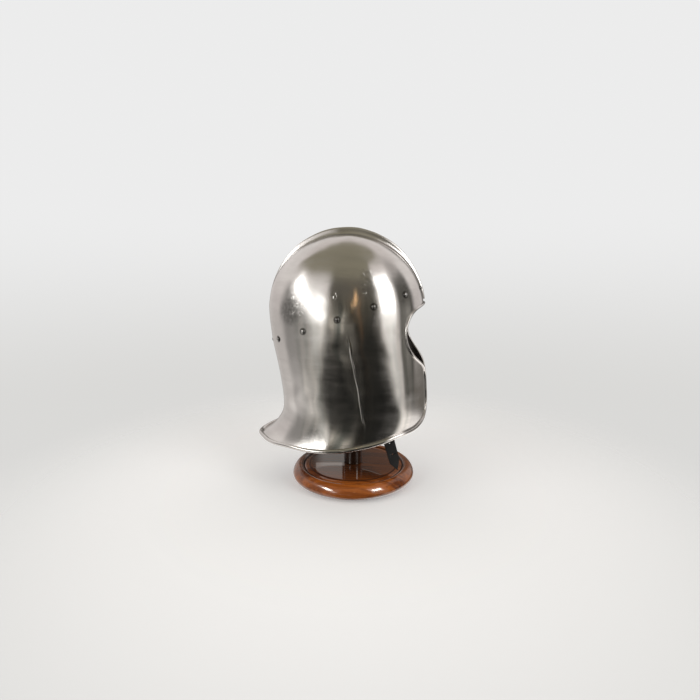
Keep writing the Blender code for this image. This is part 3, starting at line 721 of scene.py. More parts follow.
class Nodes:
    """Builds a node tree step by step."""

    def __init__(self, tree):
        self.tree = tree
        tree.nodes.clear()

    def add(self, kind, **settings):
        node = self.tree.nodes.new(kind)
        for key, value in settings.items():
            setattr(node, key, value)
        return node

    def put(self, socket, value):
        if isinstance(value, bpy.types.NodeSocket):
            self.tree.links.new(value, socket)
        elif value is not None:
            socket.default_value = value

    def math(self, operation, *values, clamp=False):
        node = self.add("ShaderNodeMath", operation=operation, use_clamp=clamp)
        for socket, value in zip(node.inputs, values):
            self.put(socket, value)
        return node.outputs[0]

    def smooth(self, value, low, high, start=0.0, end=1.0, kind="SMOOTHSTEP"):
        """From start at low to end at high."""
        node = self.add("ShaderNodeMapRange", interpolation_type=kind)
        for name, number in (("Value", value), ("From Min", low), ("From Max", high), ("To Min", start), ("To Max", end)):
            self.put(node.inputs[name], number)
        return node.outputs[0]

    def mix(self, factor, a, b, blend="MIX"):
        node = self.add("ShaderNodeMix", data_type="RGBA", blend_type=blend)
        self.put(node.inputs[0], factor)
        for socket, value in ((node.inputs[6], a), (node.inputs[7], b)):
            self.put(socket, (*value, 1.0) if isinstance(value, tuple) and len(value) == 3 else value)
        return node.outputs[2]

    def place(self):
        return self.add("ShaderNodeTexCoord").outputs["Object"]

    def split(self, vector):
        node = self.add("ShaderNodeSeparateXYZ")
        self.put(node.inputs[0], vector)
        return node.outputs

    def combine(self, x, y, z):
        node = self.add("ShaderNodeCombineXYZ")
        for socket, value in zip(node.inputs, (x, y, z)):
            self.put(socket, value)
        return node.outputs[0]

    def scaled(self, vector, scale, turn=(0.0, 0.0, 0.0)):
        node = self.add("ShaderNodeMapping")
        self.put(node.inputs["Vector"], vector)
        node.inputs["Rotation"].default_value = turn
        node.inputs["Scale"].default_value = scale
        return node.outputs[0]

    def noise(self, vector, scale=1.0, detail=2.0, roughness=0.5, distortion=0.0, colour=False):
        node = self.add("ShaderNodeTexNoise")
        self.put(node.inputs["Vector"], vector)
        node.inputs["Scale"].default_value = scale
        node.inputs["Detail"].default_value = detail
        node.inputs["Roughness"].default_value = roughness
        node.inputs["Distortion"].default_value = distortion
        return node.outputs[1 if colour else 0]

    def cells(self, vector, scale, feature="F1"):
        node = self.add("ShaderNodeTexVoronoi", feature=feature)
        self.put(node.inputs["Vector"], vector)
        node.inputs["Scale"].default_value = scale
        return node.outputs["Distance"]

    def bump(self, height, distance, strength=1.0, normal=None):
        node = self.add("ShaderNodeBump")
        self.put(node.inputs["Height"], height)
        node.inputs["Distance"].default_value = distance
        node.inputs["Strength"].default_value = strength
        self.put(node.inputs["Normal"], normal)
        return node.outputs[0]

    def near(self, place, centre, inner, outer):
        """1 within "inner" metres of the centre, 0 beyond "outer"."""
        node = self.add("ShaderNodeVectorMath", operation="DISTANCE")
        self.put(node.inputs[0], place)
        node.inputs[1].default_value = centre
        return self.smooth(node.outputs["Value"], inner, outer, 1.0, 0.0)

    def shader(self, **values):
        node = self.add("ShaderNodeBsdfPrincipled")
        out = self.add("ShaderNodeOutputMaterial")
        self.tree.links.new(node.outputs[0], out.inputs[0])
        for key, value in values.items():
            name = {"colour": "Base Color", "specular": "Specular IOR Level", "coat_ior": "Coat IOR"}.get(key, key.replace("_", " ").title())
            if isinstance(value, tuple) and len(value) == 3:
                value = (*value, 1.0)
            self.put(node.inputs[name], value)
        return node


def material(name):
    made = bpy.data.materials.new(name)
    made.use_nodes = True
    return made, Nodes(made.node_tree)


SEAM = (0.0033, 0.2316, 0.175)  # the long faint crease on the right side: -y and z at its top, and its slope
MARKS = (
    ((-0.0778, 0.0665, 0.2680), 0.006, 0.017, 1.0),
    ((-0.0734, 0.0765, 0.2787), 0.003, 0.012, 0.7),
    ((-0.0708, -0.0250, 0.3105), 0.005, 0.012, 1.0),
    ((-0.0800, -0.0215, 0.2920), 0.004, 0.013, 0.5),
    ((-0.0845, 0.0168, 0.2851), 0.002, 0.009, 0.8),
    ((0.0760, 0.0480, 0.2900), 0.004, 0.017, 0.4),
    ((0.0700, -0.0380, 0.3000), 0.004, 0.014, 0.4),
    ((-0.0300, 0.1150, 0.2300), 0.005, 0.020, 0.6),
)  # where the planishing shows: centre, full and faded radius, strength


def from_rivet(n, place):
    """The distance from the middle of the nearest rivet."""
    nearest = None
    for turn, down in rivet_places():
        for flip in (1, -1):
            node = n.add("ShaderNodeVectorMath", operation="DISTANCE")
            n.put(node.inputs[0], place)
            node.inputs[1].default_value = skull(down, turn) * (flip, 1, 1)
            nearest = node.outputs["Value"] if nearest is None else n.math("MINIMUM", nearest, node.outputs["Value"])
    return nearest


def steel():
    made, n = material("brushed_steel")
    place = n.place()
    x, y, z = n.split(place)
    inner = n.add("ShaderNodeAttribute", attribute_name="inner").outputs["Fac"]
    comb_foot_shade = n.add("ShaderNodeAttribute", attribute_name="comb_foot_shade").outputs["Fac"]
    # Fine lines of polishing, level round the shell
    lines = n.noise(n.scaled(place, (14.0, 14.0, 1500.0)), 1.0, 3.0, 0.6)
    fine = n.noise(n.scaled(place, (60.0, 60.0, 4200.0)), 1.0, 2.0, 0.5)
    cloud = n.noise(place, 22.0, 4.0, 0.6)
    smear = n.noise(n.scaled(place, (18.0, 18.0, 95.0)), 1.0, 4.0, 0.62)
    # Hammer marks: short arcs in a few patches, and a mottled surface round them
    patch = None
    for centre, full, faded, strength in MARKS:
        part = n.math("MULTIPLY", n.near(place, centre, full, faded), strength)
        patch = part if patch is None else n.math("MAXIMUM", patch, part)
    bent = n.add("ShaderNodeVectorMath", operation="MULTIPLY_ADD")
    n.put(bent.inputs[0], n.noise(place, 160.0, 2.0, 0.5, colour=True))
    bent.inputs[1].default_value = (0.004, 0.004, 0.004)
    n.put(bent.inputs[2], place)
    ring = n.cells(bent.outputs[0], 125.0)
    arc = n.math("MULTIPLY", n.smooth(ring, 0.30, 0.345), n.smooth(ring, 0.405, 0.36))
    arc = n.math("MULTIPLY", arc, n.smooth(n.noise(place, 130.0, 1.0, 0.5), 0.44, 0.54))
    dull = n.math("MAXIMUM", n.near(place, (-0.0745, 0.0765, 0.2620), 0.009, 0.024), n.math("MULTIPLY", n.near(place, (0.0812, 0.0560, 0.2640), 0.008, 0.021), 0.7))
    dull = n.math("MAXIMUM", dull, n.math("MULTIPLY", n.near(place, (-0.0835, 0.0420, 0.0900), 0.008, 0.020), 0.75))
    # Nicks: short bright scratches, in scattered patches
    nick = n.noise(n.scaled(place, (240.0, 520.0, 900.0), (0.5, 0.3, 0.9)), 1.0, 1.0, 0.5)
    nick = n.math("MAXIMUM", nick, n.noise(n.scaled(place, (260.0, 900.0, 300.0), (-0.6, 0.2, 0.4)), 1.0, 1.0, 0.5))
    nick = n.math("MULTIPLY", n.smooth(nick, 0.735, 0.80), n.smooth(n.noise(place, 34.0, 2.0, 0.5), 0.46, 0.62))
    mottle = n.noise(place, 210.0, 4.0, 0.62)
    # The long crease down the right side
    off = n.math("ADD", y, n.math("ADD", n.math("MULTIPLY", n.math("SUBTRACT", SEAM[1], z), SEAM[2]), SEAM[0]))
    off = n.math("ADD", off, n.smooth(n.noise(n.scaled(place, (1.0, 1.0, 22.0)), 1.0, 1.0, 0.5), 0.3, 0.7, -0.0011, 0.0011))
    span = n.math("MULTIPLY", n.smooth(z, 0.092, 0.120), n.smooth(z, 0.236, 0.205))
    span = n.math("MULTIPLY", span, n.smooth(x, -0.02, -0.05))
    crease = n.math("MULTIPLY", n.smooth(n.math("ABSOLUTE", off), 0.0, 0.0020, 1.0, 0.0), span)
    # Painted shade: a dark ring on the sheet round each rivet, where the dome meets it
    rivet_ring_shade = n.smooth(from_rivet(n, place), RIVET_HEAD * 1.12, RIVET_HEAD * 1.75, 1.0, 0.0)
    rough = n.math("ADD", n.smooth(cloud, 0.35, 0.7, 0.0, 0.04), n.smooth(smear, 0.35, 0.72, 0.0, 0.06))
    rough = n.math("ADD", rough, n.smooth(lines, 0.4, 0.75, 0.0, 0.04))
    rough = n.math("ADD", rough, n.math("MULTIPLY", patch, 0.05))
    rough = n.math("ADD", rough, n.smooth(inner, 0.0, 1.0, 0.135, 0.26))
    tone = n.mix(n.smooth(smear, 0.35, 0.7), (0.640, 0.622, 0.606), (0.590, 0.575, 0.560))
    tone = n.mix(n.math("MULTIPLY", patch, n.smooth(mottle, 0.42, 0.62, 0.0, 0.5)), tone, (0.34, 0.33, 0.32))
    tone = n.mix(n.math("MULTIPLY", dull, n.smooth(mottle, 0.3, 0.7, 0.35, 0.8)), tone, (0.22, 0.215, 0.205))
    tone = n.mix(n.math("MULTIPLY", n.math("MULTIPLY", arc, patch), 0.7), tone, (0.90, 0.89, 0.87))
    tone = n.mix(n.math("MULTIPLY", nick, 0.45), tone, (0.95, 0.94, 0.92))
    # Painted shade round the rivets darkens the tone here
    tone = n.mix(n.math("MULTIPLY", rivet_ring_shade, 0.85), tone, (0.10, 0.095, 0.09))
    # Painted shade in the crease along the comb's foot, where it meets the crown
    tone = n.mix(n.math("MULTIPLY", comb_foot_shade, 0.7), tone, (0.17, 0.16, 0.15))
    tone = n.mix(inner, tone, (0.46, 0.445, 0.43))
    height = n.math("ADD", n.math("MULTIPLY", lines, 0.7), n.math("MULTIPLY", fine, 0.3))
    normal = n.bump(height, 0.000004, 0.6)
    normal = n.bump(n.math("MULTIPLY", n.math("ADD", n.math("MULTIPLY", mottle, 0.35), arc), n.math("ADD", patch, 0.02)), 0.00022, 0.8, normal)
    normal = n.bump(nick, 0.00003, 0.9, normal)
    normal = n.bump(crease, 0.00050, 0.9, normal)
    tangent = n.add("ShaderNodeTangent", direction_type="RADIAL", axis="Z").outputs[0]
    n.shader(colour=tone, metallic=1.0, roughness=rough, anisotropic=0.8, anisotropic_rotation=0.25, tangent=tangent, normal=normal)
    return made


def rivet_steel():
    made, n = material("polished_rivet_steel")
    place = n.place()
    cloud = n.noise(place, 420.0, 3.0, 0.6)
    tone = n.mix(cloud, (0.58, 0.57, 0.56), (0.44, 0.43, 0.42))
    # Painted shade: a dark ring round the dome's edge, a painted reflection of the dark surroundings
    rim = n.smooth(from_rivet(n, place), RIVET_HEAD * 0.66, RIVET_HEAD * 0.97)
    tone = n.mix(n.math("MULTIPLY", rim, 0.85), tone, (0.07, 0.067, 0.063))
    n.shader(colour=tone, metallic=1.0, roughness=n.smooth(cloud, 0.3, 0.7, 0.10, 0.2), normal=n.bump(cloud, 0.00001, 0.3))
    return made


def leather():
    made, n = material("black_leather")
    place = n.place()
    grain = n.cells(place, 1500.0)
    pores = n.noise(place, 2600.0, 3.0, 0.6)
    cloud = n.noise(place, 60.0, 3.0, 0.6)
    tone = n.mix(cloud, (0.006, 0.006, 0.007), (0.015, 0.0145, 0.0145))
    height = n.math("ADD", n.math("MULTIPLY", grain, 0.6), n.math("MULTIPLY", pores, 0.4))
    n.shader(colour=tone, roughness=n.smooth(pores, 0.3, 0.7, 0.5, 0.66), specular=0.22, normal=n.bump(height, 0.00012, 0.5))
    return made


def iron():
    made, n = material("dark_iron")
    place = n.place()
    cloud = n.noise(place, 300.0, 4.0, 0.65)
    tone = n.mix(cloud, (0.16, 0.155, 0.15), (0.27, 0.26, 0.25))
    n.shader(colour=tone, metallic=1.0, roughness=n.smooth(cloud, 0.3, 0.7, 0.3, 0.5), normal=n.bump(cloud, 0.00004, 0.4))
    return made


def wood(name, light, dark, coat_rough, stretch=(70.0, 5.0, 70.0), groove=None):
    """Varnished wood. "groove" is the radii of the turned groove; the top within it and the two groove lines get
    painted shade.
    """
    made, n = material(name)
    place = n.place()
    along = n.scaled(place, stretch)
    grain = n.noise(along, 1.0, 5.0, 0.62, 0.6)
    streak = n.noise(n.scaled(place, (stretch[0] * 4.5, stretch[1] * 2.0, stretch[2] * 4.5)), 1.0, 3.0, 0.6)
    broad = n.noise(n.scaled(place, (stretch[0] * 0.3, stretch[1] * 0.8, stretch[2] * 0.3)), 1.0, 3.0, 0.55)
    tone = n.mix(n.smooth(grain, 0.32, 0.68), dark, light)
    tone = n.mix(n.math("MULTIPLY", n.smooth(streak, 0.52, 0.72), 0.55), tone, tuple(c * 0.45 for c in dark))
    tone = n.mix(n.math("MULTIPLY", n.smooth(broad, 0.4, 0.7), 0.4), tone, tuple(min(1.0, c * 1.5) for c in light))
    coat = 1.0
    if groove:
        x, y, _ = n.split(place)
        radius = n.math("SQRT", n.math("ADD", n.math("MULTIPLY", x, x), n.math("MULTIPLY", y, y)))
        # Painted shade: the top within the groove is darker, as if in the helmet's shadow
        tone = n.mix(n.smooth(radius, groove[0], groove[0] - 0.003, 0.0, 0.56), tone, (0.030, 0.008, 0.002))
        # Painted shade in the two groove lines, which also carry less varnish
        inner = n.smooth(n.math("ABSOLUTE", n.math("SUBTRACT", radius, groove[0])), 0.0016, 0.0008)
        outer = n.smooth(n.math("ABSOLUTE", n.math("SUBTRACT", radius, groove[1])), 0.0018, 0.0008)
        sunk = n.math("MAXIMUM", inner, outer)
        tone = n.mix(n.math("MULTIPLY", sunk, 0.85), tone, (0.012, 0.004, 0.002))
        coat = n.smooth(sunk, 0.0, 1.0, 1.0, 0.12)
    normal = n.bump(streak, 0.00002, 0.25)
    n.shader(
        colour=tone,
        roughness=n.smooth(grain, 0.3, 0.7, 0.45, 0.6),
        specular=0.05,
        coat_weight=coat,
        coat_ior=1.5,
        coat_roughness=coat_rough,
        normal=normal,
    )
    return made


def hills(points):
    """The slight unevenness that hammering leaves in the sheet, in metres."""
    wander = 1.1 * np.sin(points[:, 2] * 2 * math.pi / 0.083 + 0.6) + 0.5 * np.sin(points[:, 2] * 2 * math.pi / 0.037)
    waves = (
        (84.0, 0.170, (0.6, 0.7, 0.35), 5.0, 0.5),
        (49.0, 0.130, (0.25, 1.0, 0.06), 0.4, 0.8),
        (34.0, 0.075, (0.30, 1.0, -0.10), 2.1, 1.0),
        (25.0, 0.042, (0.60, 0.9, 0.10), 1.2, 1.0),
        (18.0, 0.0200, (-0.4, 1.0, 0.12), 3.3, 1.0),
        (64.0, 0.060, (0.2, -0.5, 1.0), 0.9, 0.3),
        (12.5, 0.0070, (0.5, 1.0, 0.16), 4.4, 1.0),
    )
    total = np.zeros(len(points))
    for length, high, way, phase, loose in waves:
        way = np.array(way) / np.linalg.norm(way)
        total += high / 1000 * np.sin(points @ way * 2 * math.pi / (length / 1000) + phase + loose * wander)
    return total


def shell(look):
    points, faces, inner = shell_mesh(GRID_AROUND, GRID_DOWN, ROLL_STEPS)
    comb, comb_faces = comb_mesh(260, COMB_ROWS, 0.0012)
    ring = len(COMB_ROWS) * 2 + 1
    share = np.arange(len(comb)) % ring
    share = np.minimum(share, len(COMB_ROWS) * 2 - 2 - share)
    # Painted shade along the comb's foot: 1 at its base, 0.8 one row up, 0 above
    comb_foot_shade = np.concatenate([np.zeros(len(inner)), np.where(share < 0, 1.0, np.interp(share, (0, 1, 2), (1.0, 0.8, 0.0)))])
    inner = np.concatenate([inner, np.zeros(len(comb))])
    points, faces = joined([(points, faces), (comb, comb_faces)])
    centre = np.stack([np.zeros(len(points)), np.full(len(points), 0.010), np.minimum(points[:, 2], 0.255)], -1)
    points = points + unit(points - centre) * hills(points)[:, None]
    return placed(make("barbute_shell", points, faces, look, 38.0, {"inner": inner, "comb_foot_shade": comb_foot_shade}), "steel", "barbute_skull")


def rivets(look):
    head, dome = RIVET_HEAD, RIVET_DOME
    for n, (turn, down) in enumerate(rivet_places()):
        way = outward(down, turn)
        inner = WALL + INNER_GAP + (STRAP_THICK + 3 * GAP if n == STRAP_RIVET else 0)
        rows = [(0.0012, -inner - 0.0011), (0.0019, -inner - 0.0010), (0.0023, -inner - 0.0006), (0.0024, -inner - 0.0002), (0.0024, -inner), (0.0012, -inner), (0.0012, -0.0002), (head * 0.985, -0.0002)]
        rows += [(head * math.cos(a), dome * math.sin(a)) for a in np.linspace(0.04, math.pi / 2 - 0.03, 14)]
        for side, flip in (("right", 1), ("left", -1)):
            point = skull(down, turn) * (flip, 1, 1)
            point = point + way * (flip, 1, 1) * hills(point[None])[0]
            rings = round_rings(point, way * (flip, 1, 1), rows, 40)
            item = make(f"dome_rivet_{side}_{n + 1}", *sweep(rings), look, 50.0)
            placed(item, "rivet_steel", f"rivet_{side}_{n + 1}")


def band(path, widths, wide, thick=STRAP_THICK):
    """A flat strap with softened edges along a path."""
    along = unit(np.gradient(path, axis=0))
    soft = 0.00045
    rings = []
    for p, t, w, across in zip(path, along, wide, widths):
        w = unit(w - t * (w @ t))
        n = np.cross(t, w)
        half, deep = across / 2, thick / 2
        edge = min(soft, half * 0.6)
        ring = []
        for sx, sy, start in ((1, 1, 0), (-1, 1, 90), (-1, -1, 180), (1, -1, 270)):
            for a in (0, 30, 60, 90):
                q = math.radians(start + a)
                ring.append(p + w * (sx * (half - edge) + edge * math.cos(q)) + n * (sy * (deep - edge) + edge * math.sin(q)))
        rings.append(np.array(ring))
    return sweep(rings)


def straps(look, metal):
    knots, first = strap_start(-1)
    widths, wides = [STRAP_WIDE] * 3, [first] * 3
    for z, y, off, share in TAIL:
        point, _, along = wall_place(y / 1000, max(z, 80.0) / 1000, off / 1000)
        knots.append(np.array([point[0], y / 1000, z / 1000]))
        widths.append(STRAP_WIDE * share)
        wides.append(along)
    path, (_, wide) = through(knots, 220, (widths, wides))
    tip = 1 - np.clip((0.0540 - path[:, 2]) / 0.0136, 0, 1) * 0.94
    right = make("chin_strap_right", *band(path, STRAP_WIDE * tip, wide), look, 50.0)
    along = unit(np.gradient(path, axis=0))
    holes = []
    for z in HOLES:
        n = int(np.abs(path[:, 2] - z / 1000).argmin())
        centre = path[n]
        side = unit(wide[n] - along[n] * (wide[n] @ along[n]))
        holes.append(sweep(round_rings(centre, np.cross(along[n], side), ((HOLE_RADIUS, -0.004), (HOLE_RADIUS, 0.004)), 28)))
    cut(right, *joined(holes))
    placed(right, "leather", "strap_right")
    n = int(np.abs(path[:, 2] - BUCKLE_Z).argmin())
    centre, down_way = path[n], along[n]
    side = unit(wide[n] - down_way * (wide[n] @ down_way))
    inward = unit(np.cross(down_way, side))
    inward *= np.sign(inward @ -centre)
    half, near, far = STRAP_WIDE / 2 + 0.0008 + BUCKLE_ROD, -0.0009 - 0.0004 - BUCKLE_ROD, 0.0009 + 0.0004 + STRAP_THICK + 0.0003 + BUCKLE_ROD
    bend, rings = 0.0021, []
    for k, (sa, sb) in enumerate(((-1, -1), (1, -1), (1, 1), (-1, 1))):
        a = sa * (half - bend)
        b = (near + bend) if sb < 0 else (far - bend)
        for q in np.linspace(0, math.pi / 2, 7):
            angle = (math.pi, -math.pi / 2, 0, math.pi / 2)[k] + q
            out = side * math.cos(angle) + inward * math.sin(angle)
            rings.append(np.array([
                centre + side * a + inward * b + out * bend + BUCKLE_ROD * (math.cos(r) * out + math.sin(r) * down_way)
                for r in np.arange(14) * 2 * math.pi / 14
            ]))
    points, count = np.concatenate(rings), len(rings)
    faces = [
        [r * 14 + n, r * 14 + (n + 1) % 14, (r + 1) % count * 14 + (n + 1) % 14, (r + 1) % count * 14 + n]
        for r in range(count)
        for n in range(14)
    ]
    placed(make("strap_ring", points, faces, metal, 60.0), "iron", "buckle")
    knots, first = strap_start(1)
    wides = [first] * 3
    for z, y, off, _ in TAIL[:5]:
        point, _, along = wall_place(y / 1000, z / 1000, off / 1000, 1)
        knots.append(point)
        wides.append(along)
    for x, y, z in CHIN:
        knots.append(np.array([x, y, z]) / 1000)
        wides.append(np.array([0.0, 1.0, 0.0]) if abs(x) < 40 else wides[-1] * 0.5 + np.array([0, 0.5, 0]))
    wides[-1] = side * np.sign(side[1]) * 0.6 + np.array([0, 0.4, 0])
    bar, loop = centre + inward * far, BUCKLE_ROD + GAP + STRAP_THICK / 2 + 0.0001
    rise = -down_way
    for a, b in ((0.0125, -0.0034), (0.006, -0.0027)):
        knots.append(bar + inward * a + rise * b)
    for q in (-90, -120, -150, 180, 150, 120, 90):
        knots.append(bar + loop * (math.cos(math.radians(q)) * inward + math.sin(math.radians(q)) * rise))
    for a, b in ((0.004, 0.0024), (0.009, 0.0013), (0.014, 0.0004)):
        knots.append(bar + inward * a + rise * b)
    wides += [side * np.sign(side[1])] * 12
    knots, wides = np.array(knots), np.array(wides)
    at = np.concatenate([[0], np.cumsum(np.linalg.norm(np.diff(knots, axis=0), axis=1))])
    k = np.concatenate([np.linspace(0, at[-13], 160)[:-1], np.interp(np.linspace(0, 12, 61), range(13), at[-13:])])
    path = np.stack([spline(at, c)(k) for c in knots.T], -1)
    wide = np.stack([np.interp(k, at, c) for c in wides.T], -1)
    left = make("chin_strap_left", *band(path, np.full(len(path), STRAP_WIDE), wide), look, 50.0)
    placed(left, "leather", "strap_left")


def rounded(rows, most, steps=6):
    """Softens each corner of a profile; "most" is how far along its sides a corner may reach, in mm."""
    rows = np.array(rows, float)
    found = [rows[0]]
    for a, b, c in zip(rows, rows[1:], rows[2:]):
        before, after = np.linalg.norm(a - b), np.linalg.norm(c - b)
        one = b + (a - b) * min(most / before, 0.5)
        two = b + (c - b) * min(most / after, 0.5)
        for t in np.linspace(0, 1, steps):
            found.append(one * (1 - t) ** 2 + 2 * b * t * (1 - t) + two * t * t)
    found.append(rows[-1])
    kept = [found[0]]
    for row in found[1:]:
        if np.linalg.norm(row - kept[-1]) > 1e-4:
            kept.append(row)
    return kept


def turned(name, rows, look, steps, sharp=40.0):
    angles = np.arange(steps) * 2 * math.pi / steps
    rings = [
        np.stack([r / 1000 * np.cos(angles), r / 1000 * np.sin(angles), np.full(steps, z / 1000)], -1)
        for r, z in rows
    ]
    return make(name, *sweep(rings), look, sharp)


def stand(base_look, post_look):
    base = rounded(BASE[1:-1], 3.0)
    placed(turned("turned_base", [BASE[0], *base, BASE[-1]], base_look, 200), "wood", "stand_base")
    post = rounded(POST[1:-1], 4.0)
    placed(turned("turned_post", [POST[0], *post, POST[-1]], post_look, 96), "post_wood", "stand_post")
    downs = np.linspace(0, HEAD_DOWN, 24)[1:]
    turns = np.linspace(0, math.pi, 49)
    rings = []
    for d in downs:
        half = skull(d, turns) - outward(np.full(49, d), turns) * (WALL + INNER_GAP + GAP)
        rings.append(np.concatenate([half, (half * FLIP)[-2:0:-1]]))
    last = rings[-1]
    middle = last.mean(0)
    low = last[:, 2].min() - 0.012
    for t in np.linspace(0.2, 1, 6):
        ring = middle + (last - middle) * (1 - 0.07 * t**2, 1 - 0.07 * t**2, 1.0)
        ring[:, 2] = last[:, 2] * (1 - t) + low * t
        rings.append(ring)
    head = make("crown_rest", *sweep(rings), post_look, 40.0)
    cut(head, *sweep(round_rings(np.zeros(3), np.array([0, 0, 1.0]), ((0.0083, 0.2), (0.0083, POST[-1][1] / 1000 + 0.0006)), 48)))
    head.data.shade_smooth()
    head.data.set_sharp_from_angle(angle=math.radians(40))
    placed(head, "post_wood", "stand_head")


def toward(side, rise):
    """A direction from the object: side 0 is toward the camera, 90 the face side; rise is above the horizon, in degrees."""
    s, e = math.radians(side), math.radians(rise)
    return Vector((-math.cos(s) * math.cos(e), -math.sin(s) * math.cos(e), math.sin(e)))


def soft_light(name, side, rise, away, wide, high, shine, colour=(1.0, 1.0, 1.0), lean=0.0, spread=180.0):
    """A rectangular light that faces the helmet. "shine" is its radiance and "lean" its turn, in degrees."""
    light = bpy.data.lights.new(name, "AREA")
    light.shape, light.size, light.size_y = "RECTANGLE", wide, high
    light.energy = shine * math.pi * wide * high
    light.color = colour
    light.spread = math.radians(spread)
    item = bpy.data.objects.new(name, light)
    way = toward(side, rise)
    middle = Vector((0, 0.01, 0.22))
    across = Vector((math.sin(math.radians(side)), -math.cos(math.radians(side)), 0))
    rising = way.cross(across) if way.cross(across).z > 0 else across.cross(way)
    turn = Matrix((across, rising, across.cross(rising))).transposed()
    turn = turn @ Matrix.Rotation(math.radians(lean), 3, "Z")
    if (turn @ Vector((0, 0, -1))).dot(way) > 0:
        turn = turn @ Matrix.Rotation(math.pi, 3, "Y")
    item.matrix_world = Matrix.Translation(middle + way * away) @ turn.to_4x4()
    item.visible_camera = False
    bpy.context.scene.collection.objects.link(item)
    return item


def studio():
    scene = bpy.context.scene
    scene.view_settings.view_transform = "Standard"
    scene.view_settings.look = "None"
    # The room: a pale backdrop all round, a dim ceiling and a dark side where the camera stands
    room = bpy.data.worlds.new("studio_room")
    scene.world = room
    room.use_nodes = True
    n = Nodes(room.node_tree)
    x, y, z = n.split(n.add("ShaderNodeTexCoord").outputs["Generated"])
    side = n.math("DEGREES", n.math("ARCTAN2", n.math("MULTIPLY", y, -1.0), n.math("MULTIPLY", x, -1.0)))
    rise = n.math("DEGREES", n.math("ARCSINE", n.math("MAXIMUM", n.math("MINIMUM", z, 1.0), -1.0)))

    def zone(*edges):
        """The product of smooth edges, each (value, from 0 at, to 1 at)."""
        made = None
        for value, low, high in edges:
            edge = n.smooth(value, low, high)
            made = edge if made is None else n.math("MULTIPLY", made, edge)
        return made

    # The pale backdrop, and the floor below it, brighter near the face side
    tone = n.mix(n.smooth(rise, 0.0, 60.0), (0.74, 0.69, 0.67), (0.84, 0.78, 0.75))
    tone = n.mix(zone((rise, 8.0, 26.0), (rise, 54.0, 36.0)), tone, (0.95, 0.90, 0.87))
    tone = n.mix(n.smooth(rise, 2.0, -6.0), tone, (0.66, 0.625, 0.60))
    tone = n.mix(zone((rise, -18.0, -28.0), (side, -140.0, -110.0), (side, 30.0, 0.0)), tone, (1.16, 1.11, 1.07))
    tone = n.mix(zone((rise, -18.0, -30.0), (side, 55.0, 70.0)), tone, (1.50, 1.43, 1.38))
    # Dimmer stretches to the left of the camera, with a pale strip at their edge, and beside the face
    tone = n.mix(zone((side, -98.0, -79.0), (side, -28.0, -40.0), (rise, 32.0, 20.0), (rise, -28.0, -18.0)), tone, (0.34, 0.325, 0.31))
    tone = n.mix(zone((side, -52.0, -40.0), (rise, -4.0, -16.0), (side, 0.0, -10.0), (rise, -30.0, -20.0)), tone, (0.40, 0.38, 0.35))
    tone = n.mix(zone((side, -42.0, -33.0), (side, -12.0, -22.0), (rise, 16.0, 4.0), (rise, -18.0, -10.0)), tone, (0.86, 0.83, 0.79))
    tone = n.mix(zone((side, 68.0, 76.0), (side, 118.0, 104.0), (rise, 46.0, 34.0), (rise, -27.0, -17.0)), tone, (0.10, 0.095, 0.085))
    tone = n.mix(zone((side, 78.0, 90.0), (side, 120.0, 106.0), (rise, 68.0, 54.0), (rise, 34.0, 46.0)), tone, (0.52, 0.485, 0.46))
    tone = n.mix(zone((side, 74.0, 84.0), (side, 104.0, 96.0), (rise, 13.0, 5.0), (rise, -8.0, 0.0)), tone, (0.36, 0.345, 0.32))
    tone = n.mix(zone((side, 100.0, 110.0), (side, 176.0, 150.0), (rise, -2.0, -9.0), (rise, -27.0, -17.0)), tone, (0.17, 0.155, 0.135))
    # The far side of the room, dimmer, with one pale strip that the varnish shows
    behind = n.math("ABSOLUTE", side)
    tone = n.mix(zone((behind, 148.0, 162.0), (rise, -38.0, -24.0), (rise, 42.0, 26.0)), tone, (0.17, 0.16, 0.145))
    tone = n.mix(zone((side, -173.4, -172.0), (side, -168.0, -169.8), (rise, -10.0, 0.0), (rise, 34.0, 24.0)), tone, (0.78, 0.74, 0.70))
    # The dark side, where the camera stands
    left = n.smooth(rise, -32.0, 2.0, -34.0, -20.0)
    right = n.smooth(rise, 0.0, -34.0, 40.0, 66.0)
    dark = n.mix(n.smooth(rise, -12.0, 30.0), (0.017, 0.017, 0.0165), (0.135, 0.123, 0.103))
    dark = n.mix(zone((side, -24.0, -15.0), (side, 8.0, -2.0), (rise, -9.0, -3.0), (rise, 9.0, 3.0)), dark, (0.62, 0.585, 0.55))
    front = n.math("MULTIPLY", n.smooth(n.math("SUBTRACT", side, left), -7.0, 5.0), n.smooth(n.math("SUBTRACT", side, right), 6.0, -6.0))
    # What the face-side light throws on the floor
    tone = n.mix(zone((side, 40.0, 49.0), (side, 66.0, 57.0), (rise, -36.0, -14.0), (rise, 22.0, 6.0)), tone, (0.92, 0.885, 0.85))
    tone = n.mix(front, tone, dark)
    # Furniture, door frames and folds in the cloth: upright streaks
    streak = n.noise(n.combine(n.math("MULTIPLY", side, 0.16), n.math("MULTIPLY", rise, 0.010), 8.2), 1.0, 3.0, 0.6)
    low = n.math("MULTIPLY", n.smooth(rise, 34.0, 14.0), n.math("MULTIPLY", n.smooth(side, 112.0, 82.0), n.smooth(side, -72.0, -52.0)))
    folds = n.mix(n.smooth(streak, 0.36, 0.64), (0.74, 0.76, 0.74), (1.22, 1.20, 1.16))
    shades = n.mix(n.smooth(streak, 0.38, 0.66), (0.42, 0.46, 0.43), (1.75, 1.69, 1.54))
    tone = n.mix(low, tone, n.mix(1.0, tone, n.mix(front, folds, shades), "MULTIPLY"))
